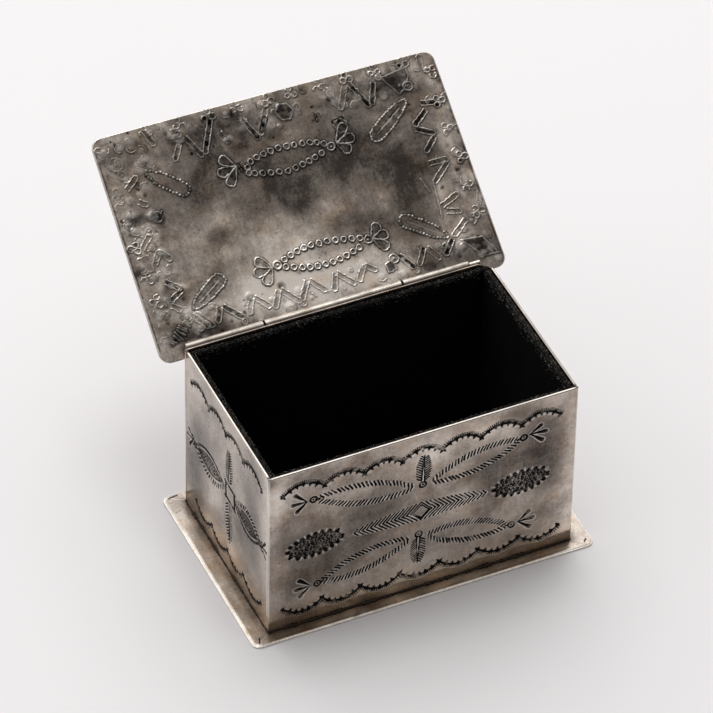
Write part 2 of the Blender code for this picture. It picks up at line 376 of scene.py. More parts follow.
def mesh_object(name, points, polygons, material, attributes=None, smooth_shaded=True):
    """An object from points in millimetres."""
    mesh = bpy.data.meshes.new(name)
    mesh.from_pydata((np.array(points) * MM).tolist(), [], polygons)
    for key, values in (attributes or {}).items():
        layer = mesh.attributes.new(key, "FLOAT", "POINT")
        layer.data.foreach_set("value", np.asarray(values, np.float32))
    mesh.polygons.foreach_set("use_smooth", [smooth_shaded] * len(mesh.polygons))
    mesh.update()
    mesh.validate()
    mesh.materials.append(material)
    return linked(name, mesh)


def linked(name, data):
    made = bpy.data.objects.new(name, data)
    bpy.context.scene.collection.objects.link(made)
    return made


def fitted(made, body, node=None):
    """Attaches a piece to its body, and hides the CAD node that it stands for, if any."""
    if node:
        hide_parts(node)
    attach(made, body)
    return made


def build_sheet(name, front, thickness, place, material, back=None, seed=0, uneven=0.05,
                worn=(0.0, 0.0), edge_round=EDGE_ROUND):
    """A closed sheet: a stamped front face, a rounded edge all round, and its other face.

    worn is how bright the rubbed edge is where v is highest, and along the other three."""
    wave = wave_field(front, seed, uneven)
    faces = [face for face in (front, back) if face is not None]
    for face in faces:
        face.settle()
    fine = np.any([face.fine_blocks() for face in faces], 0)
    used = np.zeros(front.u.shape, bool)
    used[::BLOCK, ::BLOCK] = True
    for r, c in np.argwhere(fine) * BLOCK:
        used[r : r + BLOCK + 1, c : c + BLOCK + 1] = True
    index = np.full(used.shape, -1)
    index[used] = np.arange(used.sum())
    height = front.height(wave)
    rows, columns = used.shape
    path = tuple(np.array([p for p in border(0, 0, rows - 1, columns - 1) if used[p]]).T)
    rim, rim_height = np.column_stack([front.u[path], front.v[path]]), height[path]
    flat_height = rim_height * 0 - thickness
    turns = np.linspace(0, math.pi / 2, EDGE_STEPS + 1)
    rings = [(edge_round * math.sin(a), rim_height - edge_round * (1 - math.cos(a))) for a in turns]
    less = min(edge_round, EDGE_ROUND)
    rings += [(edge_round - less * (1 - math.sin(a)), flat_height + less * (1 - math.cos(a)))
              for a in turns[::-1]]
    pieces = [np.stack([front.u[used], front.v[used], height[used]], 1)]
    pieces += [np.column_stack([rim + outward(rim) * (EDGE_SUPPORT + grow), level]) for grow, level in rings]
    loop = index[path].tolist()
    polygons = lattice_faces(fine, index)
    total = len(pieces[0])
    for _ in rings:
        ring = list(range(total, total + len(rim)))
        polygons += stitched(loop, ring)
        loop, total = ring, total + len(rim)
    if back is None:
        polygons.append(loop[::-1])
    else:
        pieces.append(np.stack([back.u[used], back.v[used], -thickness - back.height(-wave)[used]], 1))
        polygons += [[total + k for k in reversed(p)] for p in lattice_faces(fine, index)]
        polygons += stitched(loop, (total + index[path]).tolist())
    rim_marks = {
        "patina": np.zeros(len(rim)),
        "wear": np.where(rim[:, 1] > front.high[1] - 1.0, *worn),
        "tarnish": front.tarnish[path],
    }
    attributes = {}
    for key, values in rim_marks.items():
        sides = [getattr(face, key)[used] for face in faces]
        attributes[key] = np.concatenate([sides[0]] + [values] * len(rings) + sides[1:])
    return mesh_object(name, place(np.concatenate(pieces)), polygons, material, attributes)


# Punches. Every place is in the face's own millimetres. What follows a strike's line is its half
# width, depth, darkness, brightness and, where it tapers, the half width at its far end.
LOBE_SWELL = 0.05
# Shares of a blade's length, and of its half width there
PETAL = ((0.0, 0.12), (0.35, 0.6), (0.6, 0.92), (0.8, 1.0), (0.94, 0.72), (1.0, 0.0))
PADDLE = ((0, 0.15), (0.08, 0.5), (0.25, 0.82), (0.5, 1.0), (0.82, 1.0), (0.95, 0.8), (1.0, 0.35))


def arc(a, b, rise, count):
    """Points from a to b on an arc that swells by rise on the left of the way from a to b."""
    a, b, _, _, left = run(a, b)
    t = np.linspace(0, 1, count)[:, None]
    return a + (b - a) * t + left * rise * (4 * t * (1 - t))


def arc_frame(a, b, rise, count):
    """Points on an arc, and the direction to its left at each."""
    curve = arc(a, b, rise, count)
    tangent = unit_rows(np.gradient(curve, axis=0))
    return curve, np.column_stack([-tangent[:, 1], tangent[:, 0]])


def closed(points):
    return list(points) + [points[0]]


def ring(face, centre, radius=1.22, half=0.4, dot=0.42, depth=DEEP, bright=0.8, dark=1.0):
    turn = np.linspace(0, math.tau, 21)
    circle = np.array(centre) + radius * np.column_stack([np.cos(turn), np.sin(turn)])
    face.strike(circle, half, depth, dark, bright)
    if dot:
        face.strike([centre], dot, depth, dark, bright)


def scallop(face, a, b, rise, rng, half, lobe_bright):
    """A border arc: fine serrations outside, and pointed teeth between small lobes inside."""
    shift = rng.normal(0, 0.12, 2)
    side = math.copysign(1, rise)
    face.strike(arc(a, b, rise, 15) + shift, half, DEEP, 1.0, 0.6)
    length = np.linalg.norm(np.subtract(b, a)) * 1.12
    fine, normal = arc_frame(a, b, rise, int(length / 0.66))
    for p, n in zip(fine + shift, normal * side):
        face.strike([p + n * 0.2, p + n * rng.uniform(1.2, 1.5)], 0.21, 0.16, rng.uniform(0.8, 1), 0.2)
    lobes, normal = arc_frame(a, b, rise, 13)
    for k, (p, n) in enumerate(zip(lobes + shift, normal * side)):
        if k % 2:
            # Each lobe: a low lump, rubbed bright, with a painted highlight
            face.swell(p - n * 1.1, 0.95, LOBE_SWELL, lobe_bright * rng.uniform(0.6, 1.4))
        else:
            face.strike([p, p - n * rng.uniform(1.2, 1.7)], 0.85, DEEP, 1.0, 0.6, 0.16)


def scalloped(face, borders, rng, half, lobe_bright):
    """Rows of border arcs, each given by its cusps, their height and the arcs' rise."""
    for cusps, level, rise in borders:
        for a, b in zip(cusps, cusps[1:]):
            scallop(face, (a, level), (b, level), rise, rng, half, lobe_bright)


def dashes(face, a, b, rise, count, reach, back, rng, half, glint=0.0):
    """A row of slanted dashes along an arc. Each starts on the arc and leans out and back to a."""
    curve, normal = arc_frame(a, b, rise, count)
    tangent = np.column_stack([normal[:, 1], -normal[:, 0]])
    for k, (p, t, n) in enumerate(zip(curve, tangent, normal * math.copysign(1, rise))):
        grow = 0.78 + 0.22 * math.sin(math.pi * (k + 0.5) / count)
        start = p + rng.normal(0, 0.07, 2) - n * 0.2
        turn = rng.normal(0, 0.08)
        end = start + (n * reach - t * back * (1 + turn)) * grow
        face.strike([start, end], half, DEEP, rng.uniform(0.9, 1.0), 0.5, half * 0.85)
        # Painted highlight: a bright line beside each dash, where its lit wall would catch the light
        if glint:
            off = t * (half + 0.26)
            face.paint_highlight([start + off, end + off], 0.14, glint * rng.uniform(0.5, 1.2))


def feather(face, root, tip, width, rng, bold):
    """A lens between two rows of slanted dashes."""
    dashes(face, root, tip, bold * width / 2, 25, 1.9, 1.5, rng, 0.4, 0.8)
    dashes(face, root, tip, -bold * width / 2, 27, 2.0, 1.15, rng, 0.37, 0.8)


def leaf(face, root, tip, width, rng, count, plain):
    """A small feather: a double spine, bold barbs on one side and a dark dense hatch on the other."""
    root, tip, length, along, left = run(root, tip)
    left = left * plain
    face.strike([root + left * 0.6, tip - along * 0.6], 0.34, DEEP, 1.0, 0.6, 0.26)
    face.strike([root - left * 0.65, tip - along * 2.2 - left * 0.1], 0.32, DEEP, 1.0, 0.6, 0.2)
    # Painted highlight between the two spine lines
    face.paint_highlight([root, tip - along * 3], 0.2, 0.9)
    for k in range(count):
        s = (k + 0.3) / count
        reach = width / 2 * math.sin(math.pi * (0.28 + 0.62 * s))
        start = root + along * length * s * 0.94 + left * 0.7 * (1 - 0.5 * s)
        end = start + left * reach + along * reach * 0.75
        face.strike([start, end], 0.33, DEEP, 1.0, 0.5, 0.29)
        # Painted highlight beside each barb
        face.paint_highlight([start + along * 0.6, end + along * 0.6], 0.12, 0.7)
    for k in range(count):
        s = (k + 0.5) / count
        reach = width / 2 * math.sin(math.pi * (0.2 + 0.7 * s))
        start = root + along * length * s * 0.9 - left * 1.1 * (1 - 0.5 * s)
        end = start - left * reach * 0.8 + along * reach * 0.6
        face.strike([start, end], 0.3, DEEP, rng.uniform(0.85, 1), 0.3, 0.32)
        # Painted highlight beside each hatch line
        face.paint_highlight([start + along * 0.45, end + along * 0.45], 0.1, 0.6)


def chevrons(face, start, tip, count, wide, narrow):
    """Nested arrowheads along an axis, narrower towards the tip."""
    start, tip, _, along, left = run(start, tip)
    for s in np.linspace(0, 1, count):
        apex = start + (tip - start) * s
        tall = narrow + (wide - narrow) * (1 - s) ** 0.6
        for side in (1, -1):
            foot = apex + left * side * tall - along * tall
            face.strike([apex, foot], 0.34, SHALLOW * 1.6, 1.0, 0.5, 0.3)
            # Painted highlight beside each arm
            face.paint_highlight([apex + along * 0.62, foot + along * 0.62], 0.13, 0.8)


def scale_oval(face, centre, half_long, half_wide, turn, rng):
    """A pine-cone shape: dark, covered in scales, with blunt teeth round its edge."""
    c, s = math.cos(math.radians(turn)), math.sin(math.radians(turn))

    def at(along, across):
        return np.array([centre[0] + along * c - across * s, centre[1] + along * s + across * c])

    def outward_line(around, reach):
        p = half_long * math.cos(around), half_wide * math.sin(around)
        n = np.array([math.cos(around) / half_long, math.sin(around) / half_wide])
        n *= reach / np.linalg.norm(n)
        return [at(*p), at(p[0] + n[0], p[1] + n[1])]

    angles = np.linspace(0, math.tau, 33)[:-1]
    face.field([at(half_long * math.cos(a), half_wide * math.sin(a)) for a in angles], 0.12, 0.9)
    around = 0.0
    while around < math.tau - 0.1:
        tooth = outward_line(around, rng.uniform(0.5, 0.85))
        face.strike(tooth, 0.98, DEEP, 1.0, 0.5, rng.uniform(0.6, 0.72))
        step = 2.55 / math.hypot(half_long * math.sin(around), half_wide * math.cos(around))
        face.relieve(outward_line(around + step / 2, 1.3), 0.3, 0.16, rng.uniform(0.35, 0.75))
        around += step
    for i, across in enumerate(np.arange(-half_wide + 0.8, half_wide - 0.4, 1.05)):
        span = half_long * math.sqrt(max(0, 1 - (across / half_wide) ** 2)) - 0.7
        for along in np.arange(-span + (i % 2) * 0.75, span, 1.45):
            bow = np.linspace(-0.5 * math.pi, 0.45 * math.pi, 6) + rng.normal(0, 0.6)
            wobble = rng.normal(0, 0.22, 2)
            middle = np.array([along, across]) + wobble
            scale = [at(*(middle + (0.6 * math.cos(b), 0.6 * math.sin(b)))) for b in bow]
            face.relieve(scale, rng.uniform(0.11, 0.17), 0.1, rng.uniform(0.05, 0.36))


def blade(start, end, half, profile):
    """A closed outline about a way: profile gives shares of its length, and of half at each."""
    start, _, length, along, left = run(start, end)
    side = [(start + along * length * s, left * half * w) for s, w in profile]
    return [p + w for p, w in side] + [p - w for p, w in side[::-1] if w.any()]


def fan(face, apex, tips, half=0.95):
    """Three petals from one point: smooth hollows where struck, outlines on the reverse."""
    apex = np.array(apex, float)
    for tip in tips:
        along = np.array(tip, float) - apex
        if face.sense < 0:
            # Struck petal: the bright rim beside it is a painted highlight, and the dark core near the apex is
            # black oxide with painted shade in the narrow hollow
            face.strike([apex + along * 0.08, apex + along * 0.84], 0.22, 0.3, 0.5, 2.6, half)
            face.strike([apex, apex + along * 0.8], 0.26, 0.36, 0.98, 0.0, 0.5)
        else:
            outline = blade(apex, tip, half * 1.15, PETAL)
            face.field(outline, 0.05, 0.5)
            face.strike(closed(outline), 0.3, 0.26, 0.8, 0.4)


def paddle(face, tip, end, half, rng, line):
    """A blade with a pointed and a blunt end: a beaded outline and a double line down its middle."""
    outline = np.array(blade(tip, end, half, PADDLE))
    face.field(outline, 0.05, 0.42 * line)
    outline = np.array(closed(outline))
    # A dark band along the beaded outline: tarnish at the beads' foot and painted shade beside them
    face.shade(outline, 0.75, 0.55)
    face.strike(outline, 0.26, 0.16, 0.0, 0.36 * line)
    walk = np.concatenate([[0], np.cumsum(np.linalg.norm(np.diff(outline, axis=0), axis=1))])
    for d in np.arange(0, walk[-1], 1.25):
        p = np.array([np.interp(d, walk, outline[:, 0]), np.interp(d, walk, outline[:, 1])])
        p = p + rng.normal(0, 0.12, 2)
        face.strike([p], rng.uniform(0.36, 0.48), 0.3, 0.5, rng.uniform(0.3, 0.75))
    tip, _, length, along, left = run(tip, end)
    for side, dark in ((0.5, 0.6), (-0.5, 0.75)):
        start = tip + left * side
        face.shade([start + along * length * 0.18, start + along * length * 0.86], 0.24, dark * line)
    # Painted highlight between the two dark middle lines
    face.paint_highlight([tip + along * length * 0.2, tip + along * length * 0.84], 0.2, 0.5 * line)


def bar(face, a, b, half, strong):
    """A long narrow box, the reverse of a straight punch: two raised lines with a dark floor between."""
    a, b, _, along, left = run(a, b)
    left = left * half
    face.shade([a + along * 0.4, b], half * 0.75, min(1, 0.72 * strong))
    for side, share in ((1, 1.0), (-1, 0.7)):
        edge = [a + left * side * 0.9, b + left * side]
        face.strike(edge, 0.27, 0.26 * share, 0.5 * strong, 0.42 * share * (0.5 + 0.5 * strong), 0.2)
    face.strike([b + left, b + along * half * 0.7, b - left], 0.22, 0.2, 0.5 * strong, 0.3)


def hook(face, centre, radius, rng, spans, half, dark, bright, depth=0.12):
    """Part of a ring or a bent line, left by a punch that was held askew or by later rubbing."""
    turn = rng.uniform(0, math.tau) + np.linspace(0, rng.uniform(*spans), 15)
    flat = rng.uniform(0.75, 1)
    line = np.array(centre) + radius * np.column_stack([np.cos(turn), flat * np.sin(turn)])
    face.strike(line, half, depth, dark, bright)


def trefoil(face, centre, toward, radius, strong):
    """Three small rings in a clover. No two were struck alike, and most are partly rubbed away."""
    centre, _, _, toward, side = run(centre, np.add(centre, toward))
    rng = np.random.default_rng(int(1000 + 10 * abs(centre[0]) + abs(centre[1])))
    sure = min(strong, 1)
    for forth, across in ((0.95, 0), (-0.5, 0.9), (-0.5, -0.9)):
        p = centre + toward * radius * forth + side * radius * across + rng.normal(0, 0.16, 2)
        share = rng.uniform(0.12, 0.85)
        span = 2.2 + 3.4 * sure
        hook(face, p, radius * rng.uniform(0.68, 0.9), rng, (span - 1.2, span + 1), 0.3, 0.6 * strong,
             share * (0.3 + 0.45 * strong), 0.28 * sure)
        face.spot(p, radius * rng.uniform(0.5, 0.75), min(1, rng.uniform(0.5, 0.95) * strong**1.2))
    for _ in range(3):
        p = centre + rng.normal(0, radius * 0.9, 2)
        face.spot(p, rng.uniform(0.4, 0.9), 0.4 * strong, rng.uniform(0, 0.3))


def plume(face, root, tip, width, rng):
    """A filled feather: a hatched lens within a light band, dashes outside it and a bold line below."""
    root, tip, length, along, _ = run(root, tip)
    rise = -width / 2
    inner_root, inner_tip = root + along * length * 0.12, tip - along * length * 0.1
    inner = rise * 0.66
    outline = np.vstack([arc(inner_root, inner_tip, inner, 9), arc(inner_tip, inner_root, inner, 9)[1:-1]])
    face.field(outline, 0.05, 0.35)
    for share in (-1, 1):
        face.strike(arc(inner_root, inner_tip, inner * share, 11), 0.28, 0.14, 1.0, 0.4)
    for row, share in enumerate((-0.75, -0.45, -0.15, 0.15, 0.45, 0.75)):
        for k, (p, n) in enumerate(zip(*arc_frame(inner_root, inner_tip, inner * share, 14))):
            lean = (0.55 if (row + k // 5) % 2 else -0.3) + rng.normal(0, 0.15)
            d = n * 0.5 + along * lean
            face.strike([p - d, p + d], 0.27, 0.14, rng.uniform(0.6, 1), 0.3)
    dashes(face, root, tip, rise, 17, 1.6, 1.2, rng, 0.42, 0.6)
    face.strike(arc(root, tip, -rise, 13), 0.5, DEEP, 1.0, 0.5)
    # Painted highlight beside the bold line
    face.paint_highlight(arc(root, tip, -rise * 0.84, 13), 0.2, 0.4)
    dashes(face, root, tip, -rise, 22, 0.95, 0.7, rng, 0.27)


# Ornament of the long walls, measured on the front one: u along the wall, v the height.
SCALLOP_RISE = 3.5
LONG_BORDERS = (
    ((-52.4, -37.0, -22.3, -8.1, 6.9, 21.2, 36.5, 51.0), 62.7, SCALLOP_RISE),
    ((-52.2, -37.4, -22.8, -8.1, 6.9, 21.5, 36.8, 52.0), 10.1, -SCALLOP_RISE),
)
LONG_FEATHERS = (
    ((-41.0, 57.7), (-4.2, 49.4), 1),
    ((37.4, 56.9), (3.7, 49.2), 1),
    ((-39.2, 17.6), (-5.4, 25.4), 1),
    ((33.9, 17.1), (2.2, 24.4), 1),
)
FEATHER_WIDTH = 6.8
LONG_LEAVES = (((-0.3, 49.2), (0.2, 63.2)), ((-1.4, 26.3), (-1.7, 12.2)))
LEAF_WIDTH = 4.3
LONG_FANS = (
    ((-43.3, 57.4), ((-48.4, 62.5), (-49.6, 57.7), (-47.7, 53.5))),
    ((39.7, 57.5), ((44.5, 60.9), (46.8, 56.9), (45.3, 52.7))),
    ((-41.6, 17.5), ((-46.8, 22.0), (-48.2, 17.3), (-46.3, 13.2))),
    ((36.5, 17.5), ((41.2, 21.7), (43.2, 17.6), (41.7, 12.9))),
)
LONG_DIAMOND = (-0.7, 36.8)
DIAMOND_HALF = 3.0
LONG_TIPS = ((-25.7, 35.9), (23.9, 36.2))
CHEVRON_COUNT = 15
LONG_OVALS = (((-40.4, 36.6), 9.9, 4.6, 4.0), ((36.9, 36.4), 9.9, 4.5, 4.0))


def struck_ring(face, centre, clear_radius, *style):
    """A ring on ground that is cleared first."""
    face.clear(centre, clear_radius)
    ring(face, centre, *style)


def long_ornament(face, seed):
    rng = np.random.default_rng(seed)
    scalloped(face, LONG_BORDERS, rng, 0.42, 0.3)
    for root, tip, bold in LONG_FEATHERS:
        feather(face, root + run(root, tip)[3] * 2.3, tip, FEATHER_WIDTH, rng, bold)
        struck_ring(face, root, 1.7)
    for root, tip in LONG_LEAVES:
        up = math.copysign(1.7, tip[1] - root[1])
        leaf(face, (root[0], root[1] + up), tip, LEAF_WIDTH, rng, 11, 1)
        struck_ring(face, root, 1.5)
    for apex, tips in LONG_FANS:
        fan(face, apex, tips)
    u, v = LONG_DIAMOND
    h = DIAMOND_HALF
    face.strike(closed([(u - h, v), (u, v + h), (u + h, v), (u, v - h)]), 0.27, SHALLOW * 1.5, 1.0, 0.7)
    for tip in LONG_TIPS:
        chevrons(face, (u + math.copysign(h + 1.0, tip[0] - u), v), tip, CHEVRON_COUNT, 4.0, 1.3)
    for oval in LONG_OVALS:
        scale_oval(face, *oval, rng)


# Ornament of the short walls, measured on the left one: u towards the front, v the height.
SHORT_BORDERS = (
    ((-29.8, -14.8, -0.2, 14.4, 29.7), 62.2, SCALLOP_RISE),
    ((-25.8, -12.3, 0.9, 14.7, 29.7), 9.9, -SCALLOP_RISE),
)
SHORT_SQUARE = ((-0.6, 41.4), (7.2, 41.0), (7.4, 33.6), (-0.5, 34.4))
SQUARE_LINES = ((0.0, 0.42, 0.06), (0.17, 0.26, 0.0))
SHORT_LEAVES = (((2.6, 42.9), (2.6, 58.4)), ((2.2, 32.6), (2.8, 13.9)))
SHORT_LEAF_WIDTH = 4.5
SHORT_FEATHERS = (((-26.6, 35.8), (-1.9, 37.6)), ((28.2, 36.8), (7.9, 37.4)))
SHORT_FEATHER_WIDTH = 9.8
SHORT_FANS = (
    ((-28.6, 36.4), ((-32.6, 39.4), (-34.0, 35.4), (-31.8, 31.4))),
    ((30.2, 37.0), ((33.4, 41.4), (34.4, 37.4), (33.4, 33.4))),
)
SHORT_SEAM = (
    ((34.85, 2.0), (34.9, 12.0), 0.3), ((34.9, 13.5), (34.9, 22.0), 0.16),
    ((34.9, 41.0), (34.9, 43.5), 0.14), ((34.9, 46.0), (34.9, 51.0), 0.16),
)


def short_ornament(face, seed):
    rng = np.random.default_rng(seed)
    scalloped(face, SHORT_BORDERS, rng, 0.5, 0.15)
    square = np.array(SHORT_SQUARE)
    for inset_share, half, over_share in SQUARE_LINES:
        ends = square + (square.mean(0) - square) * inset_share
        for p, q in zip(ends, np.roll(ends, -1, 0)):
            over = (q - p) * over_share
            face.strike([p - over, q + over], half, DEEP, 1.0, 0.5)
    for root, tip in SHORT_LEAVES:
        leaf(face, root, tip, SHORT_LEAF_WIDTH, rng, 13, -1)
    for root, tip in SHORT_FEATHERS:
        plume(face, root, tip, SHORT_FEATHER_WIDTH, rng)
        struck_ring(face, root, 1.3, 1.0, 0.34)
    for apex, tips in SHORT_FANS:
        for lift in (1.2, -1.2):
            ring(face, np.array(apex) + (0, lift), 0.8, 0.34, 0)
        fan(face, apex, tips, 0.85)
    for low, high, half in SHORT_SEAM:
        face.shade([low, high], half, 0.95)


# Ornament of the lid, measured on its underside: u along the hinge, v away from the hinge.
# A chain of rings has its brightness, then its places.
LID_CHAINS = (
    (0.28, (-12.5, 56.0), (-9.9, 56.9), (-7.2, 57.4), (-4.3, 57.7), (-1.3, 58.0), (1.7, 57.8), (4.5, 57.6),
     (7.5, 57.3), (10.2, 56.8), (12.6, 56.2), (15.0, 55.1)),
    (0.32, (-14.4, 52.3), (-12.4, 51.6), (-9.7, 50.9), (-6.8, 50.3), (-3.8, 49.8), (-0.7, 49.3), (2.3, 49.6),
     (5.1, 50.0), (7.7, 50.6), (10.3, 51.3), (13.1, 52.1), (-14.2, 54.3)),
    (0.6, (-12.7, 19.6), (-10.1, 20.5), (-7.4, 21.2), (-4.7, 21.7), (-1.9, 21.9), (1.1, 21.8), (4.2, 21.6),
     (7.2, 21.2), (10.1, 20.7), (13.0, 20.1), (15.9, 19.5)),
    (0.5, (-13.0, 17.0), (-10.3, 16.1), (-7.5, 15.2), (-4.8, 14.5), (-2.0, 14.2), (0.9, 14.1), (3.7, 14.1),
     (6.4, 14.4), (9.2, 14.9), (11.9, 15.6), (14.5, 16.4)),
)
CHAIN_RADIUS = 0.98
CHAIN_ENDS = ((17.2, 53.5), (-15.7, 18.4), (18.6, 18.2))
LID_FANS = (
    ((-18.2, 55.6), ((-22.9, 60.2), (-25.2, 54.6), (-22.6, 49.6))),
    ((19.6, 54.0), ((24.6, 60.2), (26.4, 54.8), (23.6, 50.0))),
    ((-17.9, 18.0), ((-23.0, 22.2), (-24.8, 17.6), (-22.0, 12.8))),
    ((20.0, 18.2), ((23.8, 22.8), (26.2, 18.4), (24.8, 13.4))),
)
LID_PETAL_HALF = 1.5
LID_PADDLES = (
    ((-49.6, 62.4), (-37.2, 51.6), 2.5, 0.0),
    ((48.8, 62.2), (32.6, 51.8), 2.6, 1.0),
    ((-49.4, 11.9), (-35.6, 20.2), 2.5, 1.0),
    ((46.6, 11.4), (32.2, 22.2), 2.4, 0.3),
)
BAR_HALF = 0.95
LOBE_RADIUS = 1.4
BORDER_DEPTH = 17.0
TOOTHED = ((-52.8, 8.4), (-61.0, 1.6))
TOOTHED_COUNT = 9
SCUFF_COUNT = 620
SCUFF_BUSY_U = -46
SCUFF_DEPTH = 14.0
PIT_COUNT = 420

# Bars, clovers and rings end with how strong each still is, blots with their darkness, and slashes
# with their half width.
LID_BARS = (
    ((31.3, 72.8), (35.4, 63.9), 1.1), ((39.6, 71.2), (36.7, 64.2), 1.0), ((22.3, 73.5), (25.2, 65.5), 0.35),
    ((29.4, 73.1), (25.4, 65.5), 0.35), ((58.2, 70.8), (58.9, 76.0), 0.6),
    ((-21.4, 74.0), (-27.0, 63.4), 1.2), ((-32.0, 70.5), (-28.3, 62.8), 0.7),
    ((-10.3, 71.4), (-6.9, 63.4), 1.0), ((-35.0, 68.5), (-38.0, 63.8), 0.9),
    ((-45.3, 76.5), (-43.6, 71.2), 0.9), ((-19.6, 68.9), (-18.7, 66.0), 0.5),
    ((-1.0, 72.5), (-5.5, 64.5), 0.3), ((54.0, 59.6), (58.4, 58.8), 1.1), ((54.6, 56.7), (48.9, 52.7), 1.1),
    ((48.9, 51.2), (54.8, 48.1), 1.0), ((54.4, 46.8), (49.8, 42.6), 0.8), ((49.4, 38.2), (55.9, 38.0), 0.9),
    ((55.7, 36.8), (49.0, 31.3), 0.8), ((48.5, 22.4), (55.3, 25.1), 0.4), ((49.7, 20.1), (54.2, 18.9), 0.4),
    ((55.0, 15.4), (49.0, 11.2), 0.7), ((-58.0, 58.2), (-53.6, 61.6), 0.25),
    ((-57.5, 30.2), (-54.6, 34.3), 0.45), ((-54.4, 34.3), (-51.5, 30.6), 0.45),
    ((-55.9, 23.5), (-51.6, 19.9), 1.0), ((-51.6, 19.1), (-55.9, 16.9), 1.0),
    ((-56.6, 15.0), (-53.9, 12.7), 0.5), ((-55.4, 52.9), (-53.2, 51.2), 0.25),
    ((-59.8, 36.8), (-55.9, 40.6), 0.4), ((3.0, 9.9), (0.8, 4.4), 0.75), ((3.6, 9.9), (8.6, 4.8), 0.6),
    ((13.8, 9.8), (10.6, 5.2), 0.5), ((14.4, 9.7), (17.5, 7.2), 0.5), ((27.4, 9.9), (31.0, 4.4), 1.1),
    ((36.8, 9.9), (33.4, 4.8), 1.1), ((38.0, 9.5), (41.2, 4.8), 0.35), ((47.8, 10.0), (43.9, 5.6), 1.1),
    ((-50.8, 9.6), (-46.5, 4.5), 0.8), ((-49.2, 9.9), (-44.8, 4.3), 0.6), ((-40.4, 9.8), (-42.6, 5.2), 0.9),
    ((-39.2, 9.9), (-33.6, 4.0), 0.9), ((-28.5, 9.9), (-31.0, 4.8), 0.4), ((-27.6, 9.8), (-23.2, 5.1), 0.4),
    ((-18.4, 9.8), (-21.4, 4.5), 0.7), ((-17.6, 9.7), (-12.5, 4.0), 0.5), ((-7.5, 10.2), (-11.2, 4.6), 0.8),
    ((-6.5, 10.0), (-2.3, 5.2), 0.5),
)
LID_LOBES = (
    ((-62.0, 73.2), (-1, 1), 0.5), ((-44.8, 76.4), (0, 1), 0.5), ((-32.8, 75.6), (0, 1), 0.5),
    ((-21.6, 76.2), (0, 1), 1.0), ((-11.0, 75.8), (0, 1), 0.6), ((0.6, 75.4), (0, 1), 0.8),
    ((9.4, 75.6), (0, 1), 0.8), ((20.4, 75.6), (0, 1), 0.5), ((30.4, 75.6), (0, 1), 0.9),
    ((41.3, 75.4), (0, 1), 0.8), ((52.0, 75.2), (0, 1), 0.9), ((61.4, 70.0), (1, 0.6), 0.9),
    ((60.4, 58.8), (1, 0), 1.1), ((59.8, 48.5), (1, 0), 0.5), ((61.4, 37.4), (1, 0), 0.9),
    ((59.8, 27.4), (1, 0), 0.7), ((60.6, 17.2), (1, 0), 0.7), ((-61.8, 56.7), (-1, 0), 0.4),
    ((-62.0, 47.0), (-1, 0), 0.5), ((-62.4, 37.8), (-1, 0), 0.9), ((-61.6, 26.4), (-1, 0), 0.6),
    ((-61.2, 18.0), (-1, 0), 0.7),
)
LID_RINGS = (
    ((51.4, 66.8), 1.7, 0.9), ((42.2, 72.6), 1.0, 0.8), ((25.2, 9.2), 1.6, 0.9), ((31.8, 2.9), 0.9, 0.5),
    ((-33.5, 2.6), 0.95, 0.6), ((-11.4, 2.9), 0.95, 0.7), ((-50.9, 46.2), 1.8, 0.55),
    ((-58.9, 67.8), 2.4, 0.4), ((10.1, 70.2), 1.3, 0.3), ((-55.5, 42.0), 1.4, 0.6), ((-34.1, 72.2), 1.2, 0.7),
    ((-58.0, 63.5), 1.5, 0.3),
)
LID_BLOTS = (
    (((2.0, 70.5), (4.0, 73.0), (7.0, 72.4), (8.6, 69.6), (6.4, 66.8), (3.4, 67.2)), 0.62),
    (((42.8, 72.2), (53.0, 73.6), (52.8, 70.2), (50.0, 66.4), (47.6, 64.8)), 0.55),
    (((21.5, 8.2), (24.6, 9.0), (24.9, 5.4), (21.8, 5.0)), 0.7),
    (((-63.0, 33.8), (-58.6, 34.2), (-58.4, 28.4), (-62.6, 28.0)), 0.25),
    (((50.8, 8.9), (58.7, 8.1), (62.4, 1.2), (57.0, 1.4)), 0.7),
    (((20.6, 60.4), (23.0, 62.6), (25.6, 60.6), (24.8, 57.6), (22.0, 57.2)), 0.4),
)
LID_SLASHES = (
    ((-2.6, 69.2), (-4.8, 65.6), 0.95), ((-17.3, 56.3), (-16.4, 53.5), 0.3),
    ((-16.4, 56.5), (-15.5, 53.8), 0.3), ((-15.5, 56.6), (-14.7, 54.4), 0.3),
    ((15.0, 66.2), (15.6, 63.6), 0.3), ((15.2, 65.2), (16.8, 65.8), 0.22), ((21.2, 61.6), (24.4, 62.2), 0.5),
    ((-48.8, 48.0), (-50.2, 45.6), 0.3),
)
LID_LIGHT_LINES = (
    ((48.4, 31.0), (47.7, 24.0), (47.0, 18.4)), ((44.4, 33.8), (45.2, 31.0), (46.0, 28.4)),
    ((62.6, 24.0), (61.4, 21.0)), ((-4.6, 23.6), (-4.9, 20.8)),
)


def scuffs(face, rng):
    """Puckers and faint hooks along the border, where stamps overlap and were rubbed."""
    for _ in range(SCUFF_COUNT):
        centre = rng.uniform(face.low, face.high)
        busy = centre[0] < SCUFF_BUSY_U or rng.random() < 0.4
        if not busy or not 1.5 < min(face.edges(*centre)) < SCUFF_DEPTH:
            continue
        face.swell(centre, rng.uniform(0.9, 2.4), rng.uniform(0.04, 0.13), rng.uniform(0, 0.3))
        side = centre + rng.normal(0, 1.4, 2)
        face.spot(side, rng.uniform(0.5, 1.7), rng.uniform(0.0, 0.75) * (rng.random() < 0.65))
        hook(face, centre, rng.uniform(0.7, 1.9), rng, (1.2, 3.6), rng.uniform(0.17, 0.3),
             rng.uniform(0.2, 0.65), rng.uniform(0.05, 0.38))


